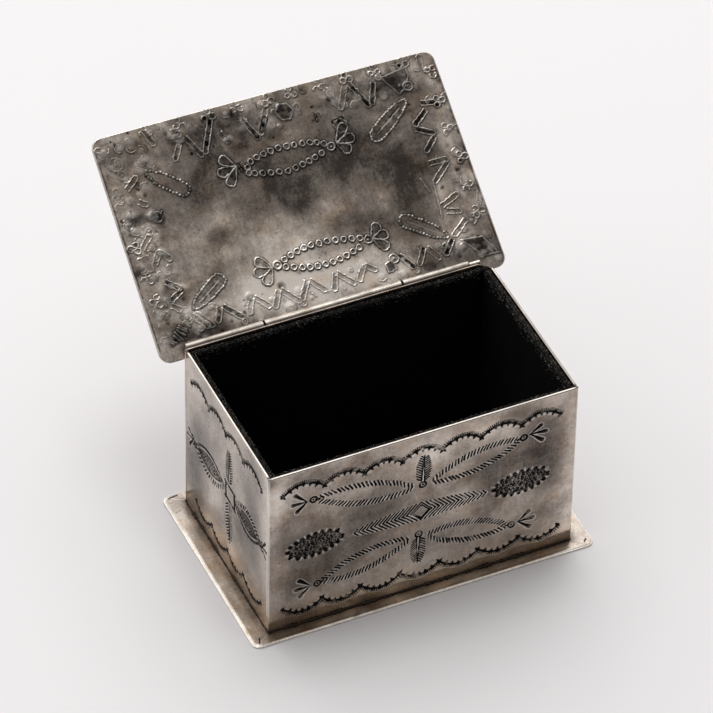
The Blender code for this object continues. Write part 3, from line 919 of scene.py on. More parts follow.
def pits(face, rng):
    """Small dark pits and worn specks along the border."""
    for _ in range(PIT_COUNT):
        centre = rng.uniform(face.low, face.high)
        if not 0.8 <= min(face.edges(*centre)) <= BORDER_DEPTH:
            continue
        dark = rng.random() < 0.62
        power = rng.uniform(0.25, 0.85)
        face.spot(centre, rng.uniform(0.18, 0.95), power * dark, 0.45 * power * (not dark))


def lid_ornament(face, seed):
    rng = np.random.default_rng(seed)
    scuffs(face, np.random.default_rng(seed + 5))
    for bright, *row in LID_CHAINS:
        for p in row:
            ring(face, p, CHAIN_RADIUS, 0.31, 0, 0.34, bright, 0.75)
            face.spot(p, CHAIN_RADIUS * 0.55, 0.5)
    for p in CHAIN_ENDS:
        ring(face, p, 1.4, 0.36, 0.45, 0.3, 0.4, 0.8)
        face.spot(p, 1.0, 0.6)
    for apex, tips in LID_FANS:
        fan(face, apex, tips, LID_PETAL_HALF)
    for tip, end, half, line in LID_PADDLES:
        paddle(face, tip, end, half, rng, line)
    for outline, dark in LID_BLOTS:
        face.field(outline, 0.06, dark)
        face.strike(closed(outline), 0.32, 0.16, 0.3 + 0.55 * dark, 0.06 + 0.28 * dark)
    for a, b, strong in LID_BARS:
        bar(face, a, b, BAR_HALF, strong)
    for centre, toward, strong in LID_LOBES:
        trefoil(face, centre, toward, LOBE_RADIUS, strong)
    for centre, radius, strong in LID_RINGS:
        ring(face, centre, radius, 0.34, 0.4, 0.24 * strong, 0.3 * strong, 0.85 * strong)
    for a, b, half in LID_SLASHES:
        face.strike([a, b], half, 0.14, 0.95, 0.0, half * 0.8)
        face.spot(np.add(a, b) / 2, half, 0.9)
    tip, end, _, _, left = run(*TOOTHED)
    for k in range(TOOTHED_COUNT):
        share = (k + 0.5) / TOOTHED_COUNT
        p = tip + (end - tip) * share + rng.normal(0, 0.15, 2)
        out = left + rng.normal(0, 0.12, 2)
        out = out * 1.9 * math.sin(math.pi * (0.15 + 0.8 * share)) * rng.uniform(0.75, 1.1)
        face.strike([p - out, p + out], rng.uniform(0.24, 0.36), 0.2, rng.uniform(0.5, 0.85), 0.25)
        face.spot(p, 1.2, 0.75)
    for line in LID_LIGHT_LINES:
        face.strike(line, 0.26, 0.12, 0.3, 0.4)
    pits(face, rng)


# Materials

class Nodes:
    """A node tree, with short ways to add nodes and to join them."""

    def __init__(self, tree):
        self.tree = tree

    def add(self, kind, inputs=None, **settings):
        node = self.tree.nodes.new(kind)
        for key, value in settings.items():
            setattr(node, key, value)
        for key, value in (inputs or {}).items():
            self.feed(node.inputs[key], value)
        return node

    def feed(self, socket, value):
        """Joins another node's output to a socket, or sets the socket's own value."""
        if isinstance(value, bpy.types.NodeSocket):
            self.tree.links.new(value, socket)
        else:
            socket.default_value = (*value, 1) if socket.type == "RGBA" else value


class Shader(Nodes):
    """A node material. Colours are given without their fourth number."""

    def __init__(self, name):
        self.material = bpy.data.materials.new(name)
        self.material.use_nodes = True
        super().__init__(self.material.node_tree)
        self.place = self.add("ShaderNodeTexCoord").outputs["Object"]

    def finish(self, sockets):
        """Fills the surface's sockets, given by name, and returns the material."""
        for name, value in sockets.items():
            self.feed(self.tree.nodes["Principled BSDF"].inputs[name], value)
        return self.material

    def value(self, name):
        return self.add("ShaderNodeAttribute", attribute_name=name).outputs["Fac"]

    def parts(self):
        return self.add("ShaderNodeSeparateXYZ", {"Vector": self.place}).outputs

    def mapped(self, scale=(1, 1, 1), turn=(0, 0, 0), place=None):
        inputs = {"Vector": place or self.place, "Scale": scale, "Rotation": turn}
        return self.add("ShaderNodeMapping", inputs).outputs["Vector"]

    def noise(self, scale, detail=4.0, rough=0.55, place=None, distortion=0.0):
        inputs = {"Vector": place or self.place, "Scale": scale, "Detail": detail,
                  "Roughness": rough, "Distortion": distortion}
        return self.add("ShaderNodeTexNoise", inputs).outputs["Fac"]

    def ranged(self, value, low, high, out_low=0.0, out_high=1.0, kind="SMOOTHSTEP"):
        inputs = {"Value": value, "From Min": low, "From Max": high, "To Min": out_low, "To Max": out_high}
        return self.add("ShaderNodeMapRange", inputs, interpolation_type=kind).outputs["Result"]

    def spread(self, noise, reach):
        """A noise stretched evenly to lie from -reach to reach."""
        return self.ranged(noise, 0.3, 0.7, -reach, reach, "LINEAR")

    def maths(self, operation, a, b=0.0, soft=0.0):
        return self.add("ShaderNodeMath", {0: a, 1: b, 2: soft}, operation=operation).outputs[0]

    def mix(self, share, a, b, blend="MIX"):
        return self.add("ShaderNodeMix", {0: share, 6: a, 7: b}, data_type="RGBA", blend_type=blend).outputs[2]

    def ramp(self, value, stops):
        node = self.add("ShaderNodeValToRGB", {"Fac": value})
        while len(node.color_ramp.elements) < len(stops):
            node.color_ramp.elements.new(0.5)
        for element, (place, colour) in zip(node.color_ramp.elements, stops):
            element.position = place
            element.color = (*colour, 1)
        return node.outputs["Color"]

    def bump(self, height, strength, distance, normal=None):
        inputs = {"Height": height, "Strength": strength, "Distance": distance}
        if normal is not None:
            inputs["Normal"] = normal
        return self.add("ShaderNodeBump", inputs).outputs["Normal"]


# BRIGHT: colour of rubbed metal and of painted highlights
BRIGHT = (0.88, 0.85, 0.80)
WARM = (0.88, 0.74, 0.60)
# Colour of the black oxide in the stamping and of painted shade
BLACK_PATINA_AND_SHADE = (0.006, 0.005, 0.0045)
LID_STREAK = (math.radians(-35.5), 0, 0)
TARNISH_MOST = 0.97
TARNISH_SOFT = 0.3
TARNISH_SCALE = 0.8  # the ramp's share of the strongest tarnish
TARNISH_STOPS = (
    (0.0, (0.81, 0.745, 0.675)),
    (0.24, (0.51, 0.45, 0.395)),
    (0.48, (0.252, 0.216, 0.187)),
    (0.8, (0.064, 0.054, 0.048)),
    (1.0, (0.032, 0.028, 0.026)),
)
FOOT_LOW = 0.005
FOOT_HIGH = 0.016


def silver_material(name, level, spread, roughness, brown, turn=None, busy=0.5, foot=0.0):
    """Hand-worked silver: cloudy tarnish, black in the stamping, bright where it is rubbed."""
    s = Shader(name)
    clouds = s.noise(60, 6, 0.62, distortion=0.6)
    patches = s.noise(270, 5, 0.68)
    grain = s.noise(1050, 3, 0.75)
    place = s.mapped((1, 0.14, 1), place=s.mapped(turn=turn)) if turn else s.mapped((1, 1, 0.1))
    rubbed = s.noise(800, 4, 0.65, place)
    tarnish = s.maths("SMOOTH_MIN", s.maths("ADD", s.value("tarnish"), level), TARNISH_MOST, TARNISH_SOFT)
    streaks = 0.05 if turn else 0.08 * busy
    for noise, reach in ((clouds, spread), (patches, 0.55 * spread), (grain, 0.16 * busy), (rubbed, streaks)):
        tarnish = s.maths("ADD", tarnish, s.spread(noise, reach))
    tarnish = s.maths("MAXIMUM", s.maths("MINIMUM", tarnish, 1 / TARNISH_SCALE), 0.0)
    colour = s.ramp(s.maths("MULTIPLY", tarnish, TARNISH_SCALE), TARNISH_STOPS)
    warm = s.ranged(s.noise(120, 5, 0.6), 0.42, 0.72, 0, brown)
    # Darker and browner towards the wall's foot: warm tarnish, with painted shade for the darker floor that the
    # lower wall mirrors
    if foot:
        height = s.maths("ADD", s.parts()["Z"], s.spread(patches, 0.004))
        warm = s.maths("MAXIMUM", warm, s.ranged(height, FOOT_LOW, FOOT_HIGH, foot, 0))
    colour = s.mix(warm, colour, WARM, "MULTIPLY")
    pits = s.add("ShaderNodeTexVoronoi", {"Vector": s.place, "Scale": 620.0, "Randomness": 1.0})
    sparse = s.ranged(s.noise(210, 2), 0.5, 0.66)
    pit = s.maths("MULTIPLY", s.ranged(pits.outputs["Distance"], 0.14, 0.3, 1, 0), sparse)
    # The dark mark: black oxide in the stamping, and painted shade beside raised lines and at the lid's side
    # edges
    dark = s.maths("MULTIPLY", s.value("patina"), s.ranged(grain, 0.25, 0.6, 1.0, 1.3, "LINEAR"))
    dark = s.maths("MINIMUM", s.maths("MAXIMUM", dark, s.maths("MULTIPLY", pit, 0.7 * busy)), 1.0)
    colour = s.mix(dark, colour, BLACK_PATINA_AND_SHADE)
    # Rubbed metal and painted highlights, both mixed towards BRIGHT
    wear = s.maths("MULTIPLY", s.value("wear"), s.ranged(patches, 0.25, 0.7, 0.7, 1.0))
    colour = s.mix(wear, colour, BRIGHT)
    rough = s.maths("ADD", s.maths("MULTIPLY", tarnish, 0.14), roughness)
    rough = s.maths("ADD", rough, s.maths("MULTIPLY", dark, 0.4))
    rough = s.maths("ADD", rough, s.spread(grain, 0.03))
    rough = s.maths("SUBTRACT", rough, s.maths("MULTIPLY", wear, 0.04))
    scratch = s.noise(260, 2, 0.5, s.mapped((14, 0.6, 0.6), (0.3, 0.5, 0.9)))
    normal = s.bump(grain, 0.3 * busy, 0.00005)
    normal = s.bump(patches, 0.35 * busy, 0.00012, normal)
    normal = s.bump(s.ranged(scratch, 0.62, 0.66), 0.12, 0.00003, normal)
    return s.finish({"Base Color": colour, "Metallic": 1.0, "Roughness": s.maths("MAXIMUM", rough, 0.08),
                     "Normal": normal})


TUBE_SHADE = (0.0361, 0.0369)


def polished_material(name, splits, bright):
    """Tube and pin: bright from handling, with lines along their length, and painted shade at the splits and
    towards the box.
    """
    s = Shader(name)
    lines = s.noise(1500, 3, 0.6, s.mapped((0.04, 1, 1)))
    blotch = s.ranged(s.noise(260, 4, 0.6), 0.35, 0.75)
    grain = s.noise(2600, 2, 0.5)
    colour = s.ramp(blotch, ((0.0, (bright, bright * 0.93, bright * 0.84)), (1.0, (0.30, 0.255, 0.21))))
    colour = s.mix(s.ranged(lines, 0.5, 0.7, 0, 0.7), colour, (0.12, 0.10, 0.085))
    place = s.parts()
    # Painted shade on the side of the tube towards the box
    colour = s.mix(s.ranged(place["Y"], *TUBE_SHADE, 0.97, 0), colour, (0.016, 0.013, 0.011))
    left_part = s.ranged(place["X"], (splits[0] - 8) * MM, splits[0] * MM, 0.35, 0)
    colour = s.mix(left_part, colour, (0.16, 0.13, 0.11))
    # Painted shade in the gaps between the knuckles
    for x in splits:
        away = s.maths("ABSOLUTE", s.maths("SUBTRACT", place["X"], x * MM))
        colour = s.mix(s.ranged(away, 0.0003, 0.0006, 1, 0), colour, (0.02, 0.017, 0.015))
    rough = s.ranged(grain, 0.3, 0.7, 0.27, 0.38, "LINEAR")
    return s.finish({"Base Color": colour, "Metallic": 1.0, "Roughness": rough,
                     "Normal": s.bump(lines, 0.3, 0.00004)})


def solder_material():
    s = Shader("old_solder")
    lumps = s.noise(800, 5, 0.6)
    tones = ((0.3, (0.012, 0.010, 0.009)), (0.62, (0.07, 0.055, 0.042)), (0.8, (0.24, 0.20, 0.16)))
    colour = s.ramp(lumps, tones)
    return s.finish({"Base Color": colour, "Metallic": 1.0, "Roughness": s.ranged(lumps, 0.3, 0.7, 0.38, 0.65),
                     "Normal": s.bump(lumps, 0.6, 0.00012)})


def velvet_material():
    """Short dense pile: nearly black, with a faint sheen and streaks where it was brushed."""
    s = Shader("black_velvet_pile")
    pile = s.noise(2600, 2, 0.6)
    brushed = s.ranged(s.noise(90, 4, 0.6), 0.45, 0.75, 0, 0.5)
    colour = s.mix(s.ranged(pile, 0.3, 0.7), (0.0016, 0.0016, 0.00172), (0.004, 0.004, 0.0043))
    colour = s.mix(brushed, colour, (0.0072, 0.0068, 0.00731))
    return s.finish({"Base Color": colour, "Roughness": 1.0, "Normal": s.bump(pile, 0.8, 0.0002),
                     "Specular IOR Level": 0.05, "Sheen Weight": 0.015, "Sheen Roughness": 0.6,
                     "Sheen Tint": (0.5, 0.48, 0.47)})


def pile_material():
    s = Shader("velvet_fibre")
    tones = ((0.0, (0.03, 0.028, 0.026)), (0.4, (0.17, 0.155, 0.14)), (1.0, (0.72, 0.66, 0.59)))
    dusk = s.ranged(s.noise(700, 3, 0.8), 0.5, 0.75, 0, 0.6)
    colour = s.mix(dusk, s.ramp(s.value("tone"), tones), (0.014, 0.013, 0.013))
    return s.finish({"Base Color": colour, "Roughness": 0.95, "Specular IOR Level": 0.1})


def card_material():
    s = Shader("grey_card")
    fibre = s.noise(1500, 5, 0.7, s.mapped((1, 0.35, 1)))
    mottle = s.ranged(s.noise(300, 3, 0.5), 0.4, 0.7, 0, 0.4)
    colour = s.ramp(fibre, ((0.3, (0.24, 0.21, 0.17)), (0.7, (0.40, 0.36, 0.30))))
    colour = s.mix(mottle, colour, (0.30, 0.27, 0.23))
    return s.finish({"Base Color": colour, "Roughness": 0.9, "Normal": s.bump(fibre, 0.4, 0.0001)})


# Frame: where the CAD says each sheet is, in millimetres

def node_box(node):
    return np.array(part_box(node)) / MM


def side_run(ends, out_axis):
    """A side of a box: the axis along it, its two ends on that axis, and how far out it is."""
    u_axis = np.cross(UP, out_axis)
    along = np.sort(ends @ u_axis)
    return u_axis, along[0], along[1], (ends @ out_axis).max()


JOINT = frame["joints"][0]
HINGE = np.array(JOINT["pos_m"]) / MM
OPEN_ANGLE = math.radians(max(JOINT["range_deg"]))
LID_AWAY = np.array([0, -math.cos(OPEN_ANGLE), math.sin(OPEN_ANGLE)])
LID_OUT = np.array([0, -math.sin(OPEN_ANGLE), -math.cos(OPEN_ANGLE)])


def placed(origin, *axes):
    return lambda points: np.array(origin, float) + points @ np.array(axes, float)


def lying(height):
    """The way into place of a level sheet whose upper face is at that height."""
    return placed((0, 0, height), ACROSS, (0, 1, 0), UP)


# The dent at the box's back right corner
DENT_REACH = 4.6
DENT_MOVE = (-0.44, -1.1, -1.7)


def dent(points):
    corner = np.array([node_box("wall_right")[1][0], node_box("wall_back")[1][1], node_box("wall_right")[1][2]])
    share = smooth(1 - np.linalg.norm(points - corner, axis=1) / DENT_REACH)
    return points + share[:, None] * DENT_MOVE


# Clouds of tarnish: place, reach along and across, how dark, and the turn if there is one
FRONT_CLOUDS = (
    (-44, 20, 9, 16, 0.38), (-45, 38, 12, 6, 0.24), (46, 58, 8, 6, 0.4), (44, 20, 7, 6, 0.18),
    (-10, 40, 30, 9, 0.12, 10), (-55, 60, 4, 18, -0.28), (-55, 22, 4, 10, -0.1), (56, 35, 3, 30, -0.22),
    (-5, 40, 50, 17, 0.18), (43, 47, 8, 9, 0.4), (27, 47, 8, 6, 0.3), (-52, 44, 4, 8, 0.34),
    (-40, 68, 15, 4, 0.24), (37, 68, 8, 4, 0.36), (0, 68, 16, 4, -0.16), (-48, 7, 8, 4, 0.26),
    (28, 36, 6, 9, 0.22), (46, 36, 6, 6, 0.34), (12, 36, 8, 10, -0.3), (0, 4, 62, 5, -0.32),
    (0, 13, 62, 6, -0.1), (26, 64, 12, 4, -0.16), (15, 12, 12, 5, -0.08), (-28, 27, 14, 8, 0.16, 20),
    (2, 58, 10, 6, -0.14), (19, 55, 9, 7, 0.18), (55, 20, 3, 6, 0.26), (-18, 48, 9, 7, 0.24),
    (-6, 12, 12, 5, -0.1), (-32, 60, 6, 5, -0.06), (33, 28, 9, 5, -0.06), (-57, 71, 3, 3, 0.5),
    (-40, 13, 8, 5, -0.2), (-53, 36, 4, 5, -0.15), (2, 40, 14, 7, -0.12), (15, 61, 7, 5, 0.24),
    (28, 20, 6, 5, -0.12), (46, 28, 5, 5, -0.1), (33, 60, 6, 4, -0.1), (6, 12, 8, 4, -0.12),
    (56, 5, 3, 4, -0.35), (4, 5, 16, 3, -0.16), (-44, 11, 5, 4, -0.12),
)
BACK_RIM = ((0, 72.8, 70, 1.3, 0.4),)
RIGHT_RIM = ((-10, 72.8, 30, 1.3, 0.45),)
LEFT_CLOUDS = (
    (33, 40, 3.5, 60, -0.18), (-26, 28, 8, 26, 0.34), (-15, 55, 10, 16, 0.18), (23, 40, 5, 22, 0.24),
    (10, 30, 10, 9, 0.22), (8, 12, 9, 4, -0.42), (-24, 8, 14, 5, 0.22), (24, 66, 7, 6, 0.14),
    (0, 2, 36, 4, 0.1), (-6, 20, 10, 9, 0.04), (-31, 25, 6, 12, 0.3), (-24, 40, 7, 12, 0.12),
    (17, 30, 6, 9, 0.22), (-12, 22, 14, 3.5, -0.16, 45), (-20, 36, 6, 8, 0.16), (16, 8, 8, 4, -0.16),
    (-6, 62, 14, 6, 0.06), (24, 46, 6, 8, 0.24), (16, 54, 6, 8, 0.2), (10, 26, 7, 6, 0.2),
    (31, 18, 4, 5, 0.15), (-31, 45, 5, 20, -0.2), (-16, 8, 14, 5, -0.44), (-31, 8, 5, 5, -0.3),
    (12, 10, 7, 4, 0.2),
)
LID_CLOUDS = (
    (-4, 16, 50, 13, -0.16), (4, 5, 46, 5, -0.08), (-10, 25, 9, 8, -0.28), (-18, 22, 6, 8, -0.12),
    (10, 33, 6, 4, -0.34), (30, 32, 4, 4, -0.3), (-10, 32, 5, 4, -0.12), (50, 60, 4, 5, -0.22),
    (50, 18, 4, 4, -0.2), (-30, 74, 5, 3, -0.25), (40, 74, 5, 3, -0.2), (0, 61, 12, 3, -0.12),
    (-10, 46, 5, 5, -0.12), (-37, 54, 7, 5, 0.14), (36, 24, 7, 5, 0.16), (60, 36, 4, 7, 0.14),
    (-61, 16, 4, 9, 0.16), (20, 36, 6, 4, 0.1), (36, 9, 6, 4, 0.12), (-50, 1.5, 9, 3, 0.3),
    (-36, 2.5, 8, 2.5, 0.25), (-27.4, 61, 7, 9, 0.46, 20), (-28, 54, 8, 5, 0.28), (1.0, 40, 5, 6, 0.66),
    (20, 46, 10, 4.5, 0.42), (36, 46, 9, 8, 0.36), (39.5, 31, 6.5, 13, 0.46), (24, 25, 8, 6, 0.38),
    (37, 71, 6, 4, 0.3), (48, 69, 6, 5, 0.36), (-31, 34.2, 3.5, 3.2, 0.56), (-33, 15, 5, 4, 0.22),
    (-28, 72, 7, 4, 0.26), (6.3, 70.4, 4, 3.2, 0.3), (-7, 47, 13, 7, 0.34), (-37, 58, 8, 7, 0.26),
    (-37, 44, 8, 6, 0.06), (11, 55, 14, 5, 0.2), (52, 48, 6, 14, 0.26), (-10, 66, 12, 5, 0.12),
    (-56, 62, 6, 12, 0.02), (0, 53, 26, 8, 0.3), (22, 59, 9, 7, 0.4), (21, 34, 9, 4, 0.1),
    (34, 17, 9, 6, 0.26), (-46, 4, 6, 3, 0.56), (-56, 5, 5, 4, 0.3), (-10, 74, 9, 4, 0.26),
    (-19, 68, 8, 6, 0.22), (45, 64, 9, 6, 0.22), (60, 18, 5, 8, 0.18), (52, 5, 16, 5, 0.26),
    (31, 8, 9, 5, 0.06), (-27, 40, 6, 5, -0.4), (-5, 10.5, 32, 6, -0.7), (20, 5, 9, 4, -0.48),
    (2, 4.5, 12, 4, -0.2), (-55, 40, 5, 12, -0.1), (-9.8, 77, 14, 2.5, -0.22), (19.7, 72, 9, 4, -0.08),
    (60, 42, 4, 18, -0.26), (-60, 37, 2.5, 2, -0.4), (-12, 30, 14, 7, -0.1), (-60, 76, 6, 3, -0.16),
    (60, 74, 6, 4, -0.14), (-28, 27, 8, 6, -0.02), (53, 12, 5, 3, -0.46), (-60, 58, 4, 14, -0.06),
    (-24, 18, 10, 4, -0.1), (-50, 12.5, 4, 3, -0.36), (-61, 15, 4, 10, -0.06), (0, 80, 70, 1.4, -0.24),
    (-33, 23, 9, 3, 0.06), (-20, 39, 6, 6, 0.24), (4, 32, 7, 4, 0.14), (12, 27, 6, 4, 0.18),
    (9, 72, 7, 5, 0.16), (2, 66, 9, 5, 0.08), (31, 60, 6, 7, 0.1), (-7, 10, 18, 2.5, -0.12),
    (-47, 20, 7, 4, 0.1),
)
BASE_CLOUDS = (
    (-61.5, -4, 3, 14, 0.2), (-61, -28, 3, 9, 0.13), (-60, 34, 6, 11, 0.36), (0, -38.5, 70, 4, 0.14),
    (60, -34, 7, 10, 0.2), (-62, -20, 2, 6, 0.12),
)
BASE_NICKS = (((-62.6, 39.0), (-59.0, 39.5)), ((-61.1, -36.9), (-62.0, -39.0)), ((61.5, -38.6), (62.6, -37.4)))

WALL_EDGE = 0.42
WALL_WOBBLE = 0.045
WALL_WEAR = 0.45


def make_wall(side, ornament, seed, material, clouds, rim_wear):
    node, out_axis = f"wall_{side}", np.array(OUTWARD[side])
    ends = node_box(node)
    u_axis, start, end, plane = side_run(ends, out_axis)
    gap = EDGE_SUPPORT + WALL_EDGE
    face = Face((start + gap, ends[0][2] + gap), (end - gap, ends[1][2] - gap), WALL_PITCH, wobble=WALL_WOBBLE)
    ornament(face, seed)
    for cloud in clouds:
        face.cloud(*cloud)
    face.mottle(np.random.default_rng(seed + 100), 200, 1.5, 7.0, 0.05)
    flat = placed(out_axis * plane, u_axis, UP, out_axis)
    made = build_sheet(f"{node}_stamped", face, SHEET, lambda points: dent(flat(points)), material, None, seed,
                       0.05, (rim_wear, WALL_WEAR), WALL_EDGE)
    fitted(made, "box", node)


def make_walls():
    front = silver_material("front_silver", level=0.42, spread=0.14, roughness=0.13, brown=0.6, foot=0.75)
    side = silver_material("side_silver", level=0.38, spread=0.11, roughness=0.13, brown=0.25, foot=0.75)
    make_wall("front", long_ornament, 11, front, FRONT_CLOUDS, 0.4)
    make_wall("back", long_ornament, 12, front, FRONT_CLOUDS + BACK_RIM, 0.0)
    make_wall("left", short_ornament, 13, side, LEFT_CLOUDS, 0.4)
    make_wall("right", short_ornament, 14, side, LEFT_CLOUDS + RIGHT_RIM, 0.1)


LID_EDGE = 0.34
LID_SKEW = (1.6, 1.1)
LID_SHIFT = (1.28, 0.63)
LID_SIDE_SHADE_AT = 0.45
LID_WEAR = 0.55
# The raised lines are worn flat where the closed lid lies over the walls' rims.
RIM_RELIEF = 0.12
RIM_REACH = 1.3


def make_lid():
    points = np.array([v.co for v in frame["nodes"]["lid_plate"].data.vertices]) / MM - HINGE
    points = points @ np.array([ACROSS, LID_AWAY, LID_OUT]).T
    gap = EDGE_SUPPORT + LID_EDGE
    low, high = points.min(0)[:2] + gap, points.max(0)[:2] - gap
    corner = LID_CORNER - gap
    under, outer = (Face(low, high, LID_PITCH, sense, corner, LID_SKEW, wobble, LID_SHIFT)
                    for sense, wobble in ((+1, 0.075), (-1, 0.05)))
    over_rim = np.abs(np.abs(under.u) - (node_box("wall_front")[1][0] - SHEET / 2))
    for wall in ("wall_front", "wall_back"):
        over_rim = np.minimum(over_rim, np.abs(under.v - (HINGE[1] - node_box(wall)[:, 1].mean())))
    worn_flat = RIM_RELIEF + smooth((over_rim - RIM_REACH) / RIM_REACH)
    for face in (under, outer):
        lid_ornament(face, 21)
        edge_u, edge_v = face.edges(face.u, face.v)
        # Painted shade: a dark line just inside the lid's two side edges, where the rounded edge shows dark
        side_u = np.minimum(np.abs(face.u - face.u[:, :1]), np.abs(face.u - face.u[:, -1:]))
        line = np.exp(-(((side_u - LID_SIDE_SHADE_AT) / 0.22) ** 2)) * smooth((edge_v - 3) / 2)
        face.patina = np.maximum(face.patina, 0.8 * line)
        face.keep_fine |= (edge_u < corner + 1.5) & (edge_v < corner + 1) | (side_u < 1.2)
        for cloud in LID_CLOUDS:
            face.cloud(*cloud)
        face.raised = np.minimum(face.raised, worn_flat)
        face.mottle(np.random.default_rng(22), 520, 0.8, 4.0, 0.17,
                    lambda u, v: 1.0 if min(face.edges(u, v)) < BORDER_DEPTH else 0.5)
    place = placed(HINGE + LID_OUT * points[:, 2].max(), ACROSS, LID_AWAY, LID_OUT)
    silver = silver_material("lid_silver", level=0.58, spread=0.2, roughness=0.22, brown=0.6,
                             turn=LID_STREAK, busy=0.7)
    made = build_sheet("lid_stamped", under, SHEET, place, silver, outer, 21, 0.05, (LID_WEAR, LID_WEAR),
                       LID_EDGE)
    fitted(made, "lid", "lid_plate")


BACK_DROP = 0.12
ROLL_DROP = 0.3
ROLL_SIDE = 1.2
ROLL_FRONT = 0.7
FLANGE_FOOT_DARKENING = 0.42
FLANGE_START = 0.8
BASE_WEAR = 0.7


def make_base():
    ends = node_box("base_plate")
    gap = EDGE_SUPPORT + EDGE_ROUND
    corner = BASE_CORNER - gap
    face = Face(ends[0][:2] + gap, ends[1][:2] - gap, BASE_PITCH, -1, corner)
    body = node_box("wall_front")[1][0], node_box("wall_back")[1][1]
    over_u, over_v = ((np.abs(at) - (half + FLANGE_START)) / (far - half - FLANGE_START)
                      for at, half, far in zip((face.u, face.v), body, ends[1]))
    over = np.maximum(over_u, over_v)
    edge_u, edge_v = face.edges(face.u, face.v)
    at_corner = (edge_u < corner) & (edge_v < corner)
    both = np.clip(edge_u, 0, corner), np.clip(edge_v, 0, corner)
    near_corner = (corner - np.hypot(corner - both[0], corner - both[1])) / ROLL_SIDE
    edge = np.where(at_corner, near_corner, np.minimum(edge_u / ROLL_SIDE, edge_v / ROLL_FRONT))
    face.base = -BACK_DROP * np.clip(over, 0, 1) - ROLL_DROP * np.clip(1 - edge, 0, 1) ** 2
    mitre = (np.abs(over_u - over_v) < 0.12) & (over > -0.1)
    face.keep_fine |= at_corner | mitre | (edge < 1.4)
    # The flange's rolled edge is rubbed bright and given a painted highlight; the bright line along the mitred
    # corners is a painted reflection of the walls' corners
    face.wear = 0.45 * smooth(1.1 - edge * 1.3)
    face.wear = np.maximum(face.wear, 0.4 * smooth(1 - np.abs(over_u - over_v) / 0.07) * mitre)
    for nick in BASE_NICKS:
        face.strike(nick, 0.22, 0.1, 1.0, 0.3)
    face.mottle(np.random.default_rng(31), 260, 0.8, 3.5, 0.11)
    for cloud in BASE_CLOUDS:
        face.cloud(*cloud)
    # The flange darker in a band along the walls' foot
    beside = np.maximum(np.abs(face.u) - body[0], np.abs(face.v) - body[1])
    face.tarnish += FLANGE_FOOT_DARKENING * np.exp(-((np.maximum(beside, 0) / 1.4) ** 2)) * (beside > -2)
    silver = silver_material("base_silver", level=0.24, spread=0.08, roughness=0.24, brown=0.9, busy=0.6)
    made = build_sheet("base_plate_worn", face, BASE_THICK, lying(BASE_THICK), silver, None, 31, 0.04,
                       (BASE_WEAR, BASE_WEAR))
    fitted(made, "box", "base_plate")


SOLDER_STEP = 0.5
SOLDER_SIDES = 8
SOLDER_LIFT = 0.1
# The beads' radii along each wall's foot
SOLDER_RADII = {
    "front": (0.7, 0.6, 0.5, 0.65, 0.55),
    "back": (0.55, 0.6),
    "left": (0.6, 0.5, 0.35, 0.35, 0.3, 0.35),
    "right": (0.5, 0.5),
}


def bead(name, start, end, out_axis, radii, material, seed):
    """An uneven bead of solder from start to end, pushed out from the wall's face."""
    rng = np.random.default_rng(seed)
    count = int(np.linalg.norm(end - start) / SOLDER_STEP)
    knots = np.arange(0, count + 16, 5)
    slow = np.interp(np.arange(count), knots, rng.uniform(0.45, 1.45, len(knots)))
    along = np.linspace(0, 1, count)
    sizes = slow * rng.uniform(0.7, 1.3, count) * np.interp(along, np.linspace(0, 1, len(radii)), radii)
    points = []
    for k, (t, size) in enumerate(zip(along, sizes)):
        middle = start + (end - start) * t + UP * SOLDER_LIFT
        r = size * min(1, 6 * t + 0.3, 6 * (1 - t) + 0.3)
        for j in range(SOLDER_SIDES):
            a = math.tau * j / SOLDER_SIDES
            lump = r * (1 + 0.25 * math.sin(3 * a + k * 1.7))
            points.append(middle + out_axis * lump * math.cos(a) + UP * 0.8 * lump * math.sin(a))
    fitted(mesh_object(name, points, tube_faces(SOLDER_SIDES, count), material), "box")


def make_solder():
    material = solder_material()
    body = np.array([node_box("wall_front")[0], node_box("wall_back")[1]])
    for k, (side, radii) in enumerate(SOLDER_RADII.items()):
        out_axis = np.array(OUTWARD[side])
        u_axis, start, end, plane = side_run(body, out_axis)
        foot = out_axis * plane + UP * BASE_THICK
        bead(f"solder_{side}", foot + u_axis * start, foot + u_axis * end, out_axis, radii, material, 41 + k)


# Velvet lining
VELVET_PITCH = 1.1
VELVET_UNEVEN = 0.12
VELVET_THICK = 0.9
FOLD = 0.45
RIPPLES = (2.1, 3.7, 6.3, 11.0)
FIBRE_COUNT = 7000
FIBRE_WIDTH = 0.075
FIBRE_LENGTH = 0.75
INNER_SHARE = 0.8
INNER_FADE = 1.1


def cloth_strip(name, profile, length, place, seed, material):
    """A closed strip of velvet: a cross-section carried along its length, slightly uneven."""
    rng = np.random.default_rng(seed)
    count = max(2, int(length / VELVET_PITCH))
    phases = rng.uniform(0, math.tau, (4, 2))
    points = []
    for k in range(count + 1):
        x = -length / 2 + length * k / count
        ends = smooth(min(k, count - k) / 3)
        for depth, height, deep_share, high_share in profile:
            ripple = sum(math.sin(x / reach + phase[0]) * math.cos(height / reach + phase[1])
                         for reach, phase in zip(RIPPLES, phases))
            shift = VELVET_UNEVEN * ends * ripple / 3
            points.append((x, depth + shift * deep_share, height + shift * high_share))
    return mesh_object(name, place(np.array(points)), tube_faces(len(profile), count + 1), material)


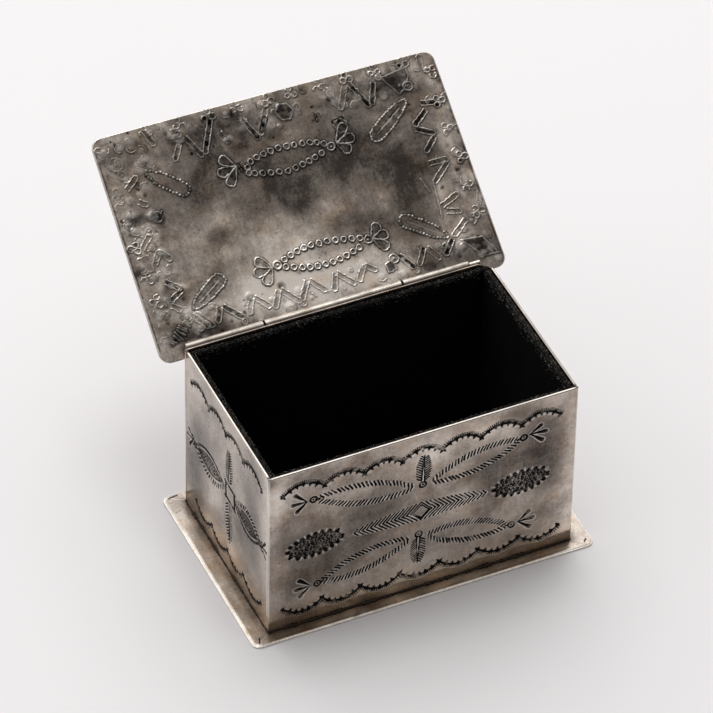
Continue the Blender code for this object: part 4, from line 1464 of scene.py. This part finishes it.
def wall_velvet_profile(depth_back, depth_front, foot, top):
    """Cross-section (depth from the wall's face, height, how far it may swell in each)."""
    rows = [(depth_front, z, 1, 0) for z in np.linspace(foot, top - 1.2, 26)]
    for depth, turn, swell in ((depth_front - FOLD, 0, 0.6), (depth_back + FOLD, math.pi / 2, 0.0)):
        for a in np.linspace(turn, turn + math.pi / 2, 5):
            rows.append((depth + FOLD * math.cos(a), top - FOLD + FOLD * math.sin(a), swell, 0.6))
    under, inner = top - VELVET_THICK, depth_front - VELVET_THICK
    return rows + [(depth_back, under, 0, 0), (inner, under, 0, 0), (inner, foot, 0, 0)]


def fibres(name, places, normals, material, seed):
    """Loose pile: thin spikes, each a closed four-sided solid, over the given places."""
    rng = np.random.default_rng(seed)
    count = len(places)
    pick = rng.integers(0, count, count)
    base = places[pick] + rng.normal(0, 0.25, (count, 3)) * (1 - np.abs(normals[pick]))
    lean = unit_rows(normals[pick] + rng.normal(0, 0.55, (count, 3)))
    side = unit_rows(np.cross(lean, rng.normal(0, 1, (count, 3))))
    other = np.cross(lean, side)
    reach = FIBRE_LENGTH * rng.uniform(0.3, 1.0, (count, 1))
    root = base - lean * 0.1
    corners = [root + FIBRE_WIDTH * (side * a + other * b) for a, b in ((1, 0), (-0.5, 1), (-0.5, -1))]
    points = np.stack(corners + [root + lean * reach], 1).reshape(-1, 3)
    sides = np.array([[0, 1, 3], [1, 2, 3], [2, 0, 3], [2, 1, 0]])
    polygons = (np.arange(count)[:, None, None] * 4 + sides).reshape(-1, 3).tolist()
    tone = np.repeat(rng.uniform(0, 1, count) ** 3, 4)
    made = mesh_object(name, points, polygons, material, {"tone": tone}, False)
    return fitted(made, "box")


def wall_pile(name, length, depth, top, place, in_axis, material, k):
    """The pile along a wall velvet's top edge and just below it on the inner side."""
    rng = np.random.default_rng(61 + k)
    across = rng.uniform(0, 1, FIBRE_COUNT)
    along = rng.uniform(-length / 2, length / 2, FIBRE_COUNT)
    deep = depth[0] + (depth[1] - depth[0]) * across
    lift = top - 0.12 - 0.3 * np.abs(across * 2 - 1) ** 4
    inner = across > INNER_SHARE
    deep[inner] = depth[1] - 0.05
    lift[inner] = top - 0.4 - INNER_FADE * rng.exponential(1, inner.sum()).clip(0, 4)
    tilt = np.where(inner, 2.5, np.clip(across * 2 - 1, -1, 1))[:, None]
    normals = unit_rows(tilt * 0.5 * in_axis + UP)
    return fibres(name, place(np.column_stack([along, deep, lift])), normals, material, 71 + k)


def dressed(start, material_for):
    """Gives the CAD nodes whose names begin with start their materials."""
    for name, node in frame["nodes"].items():
        if name.startswith(start):
            node.data.materials.clear()
            node.data.materials.append(material_for(name))


def make_lining():
    cloth = velvet_material()
    loose = pile_material()
    card = card_material()
    dressed("card_", lambda name: card)
    walls = node_box("wall_front")
    for k, (side, out_axis) in enumerate(OUTWARD.items()):
        node, in_axis = f"velvet_{side}", -np.array(out_axis)
        plane = np.abs(out_axis) @ (walls[1][0], -walls[0][1], 0)
        ends = node_box(node)
        u_axis, start, end, _ = side_run(ends, out_axis)
        length = end - start
        depth = np.sort(plane - ends @ out_axis)
        foot, top = ends[:, 2]
        place = placed(-in_axis * plane, u_axis, in_axis, UP)
        profile = wall_velvet_profile(*depth, foot, top)
        made = cloth_strip(f"{node}_cloth", profile, length, place, 51 + k, cloth)
        fitted(made, "box", node)
        hair = wall_pile(f"{node}_pile", length, depth, top, place, in_axis, loose, k)
    ends = node_box("velvet_floor")
    gap = EDGE_SUPPORT + EDGE_ROUND
    size = ends[1] - ends[0]
    floor = Face(ends[0][:2] + gap, ends[1][:2] - gap, CLOTH_PITCH)
    made = build_sheet("velvet_floor_cloth", floor, size[2], lying(ends[1][2]), cloth, None, 59, VELVET_UNEVEN)
    fitted(made, "box", "velvet_floor")


HINGE_GAP_HALF = 0.15


def finish_hinge():
    low, high = node_box("hinge_knuckle_middle")
    splits = (low[0] - HINGE_GAP_HALF, high[0] + HINGE_GAP_HALF)
    tube = polished_material("worn_tube", splits, 0.52)
    pin = polished_material("worn_pin", (*splits, node_box("hinge_knuckle_right")[1][0]), 0.82)
    dressed("hinge_", lambda name: pin if name == "hinge_pin" else tube)


# Floor, light and camera
FLOOR_HALF = 800
FLOOR_COLOUR = (0.842, 0.824, 0.833)
WORLD_COLOUR = (1.0, 0.985, 0.98)
BACKDROP_COLOUR = (0.90, 0.885, 0.89)
WORLD_LEAN = 0.6
WORLD_LOW = 0.05
WORLD_HIGH = 0.95
LAMP_DISTANCE = 1.8
# Each lamp: where it stands as seen from the box, its size and its radiance
SOFTBOXES = {
    "key_softbox": ((0.26, 0.68, 0.69), 2.0, 1.1),
    "top_softbox": ((0.07, 0.2, 0.98), 0.6, 5.0),
    "fill_softbox": ((-0.78, 0.2, 0.6), 1.0, 0.9),
}
CAMERA_PLACE = (-0.63097, -1.31946, 1.40481)
CAMERA_AZIMUTH = math.radians(25.229)
CAMERA_ELEVATION = math.radians(42.220)
CAMERA_ROLL = math.radians(1.109)
FOCAL_PIXELS = 5812.0
IMAGE_PIXELS = 713
SENSOR = 36.0


def make_floor():
    s = Shader("pale_floor")
    tone = s.ranged(s.noise(3, 3, 0.5), 0.3, 0.7)
    colour = s.mix(tone, FLOOR_COLOUR, tuple(c * 0.985 for c in FLOOR_COLOUR))
    material = s.finish({"Base Color": colour, "Roughness": 0.9, "Specular IOR Level": 0.1})
    corners = [(a * FLOOR_HALF, b * FLOOR_HALF, 0) for a, b in ((-1, -1), (1, -1), (1, 1), (-1, 1))]
    mesh_object("floor", corners, [[0, 1, 2, 3]], material, None, False)


def make_world():
    """Soft light, stronger from above and behind, and a plain backdrop for the camera."""
    world = bpy.data.worlds.new("studio")
    bpy.context.scene.world = world
    world.use_nodes = True
    n = Nodes(world.node_tree)
    light = n.tree.nodes["Background"]
    toward = n.add("ShaderNodeTexCoord").outputs["Generated"]
    height = n.add("ShaderNodeVectorMath", {0: toward, 1: (0, WORLD_LEAN, 1)}, operation="DOT_PRODUCT")
    levels = {"Value": height.outputs["Value"], "From Min": 0.0, "To Min": WORLD_LOW, "To Max": WORLD_HIGH}
    n.feed(light.inputs["Color"], WORLD_COLOUR)
    n.feed(light.inputs["Strength"], n.add("ShaderNodeMapRange", levels).outputs["Result"])
    seen = n.add("ShaderNodeBackground", {"Color": BACKDROP_COLOUR})
    camera_ray = n.add("ShaderNodeLightPath").outputs["Is Camera Ray"]
    mixer = n.add("ShaderNodeMixShader", {0: camera_ray, 1: light.outputs[0], 2: seen.outputs[0]})
    n.feed(n.tree.nodes["World Output"].inputs[0], mixer.outputs[0])


def make_lamps():
    for name, (toward, size, radiance) in SOFTBOXES.items():
        toward = Vector(toward).normalized()
        lamp = bpy.data.lights.new(name, "AREA")
        lamp.shape = "SQUARE"
        lamp.size = size
        lamp.energy = math.pi * size * size * radiance
        made = linked(name, lamp)
        made.location = toward * LAMP_DISTANCE
        made.rotation_euler = toward.to_track_quat("Z", "Y").to_euler()


def make_camera():
    azimuth, elevation, roll = CAMERA_AZIMUTH, CAMERA_ELEVATION, CAMERA_ROLL
    forward = Vector((math.sin(azimuth) * math.cos(elevation), math.cos(azimuth) * math.cos(elevation),
                      -math.sin(elevation)))
    level = Vector((math.cos(azimuth), -math.sin(azimuth), 0))
    right = level * math.cos(roll) + level.cross(forward) * math.sin(roll)
    up = right.cross(forward)
    camera = bpy.data.cameras.new("camera")
    camera.sensor_width = SENSOR
    camera.lens = FOCAL_PIXELS * SENSOR / IMAGE_PIXELS
    camera.clip_end = 20
    made = linked("camera", camera)
    made.matrix_world = Matrix.Translation(CAMERA_PLACE) @ Matrix((right, up, -forward)).transposed().to_4x4()
    bpy.context.scene.camera = made


make_walls()
make_lid()
make_base()
make_solder()
make_lining()
finish_hinge()
make_floor()
make_world()
make_lamps()
make_camera()
bpy.context.scene.view_settings.view_transform = "Standard"
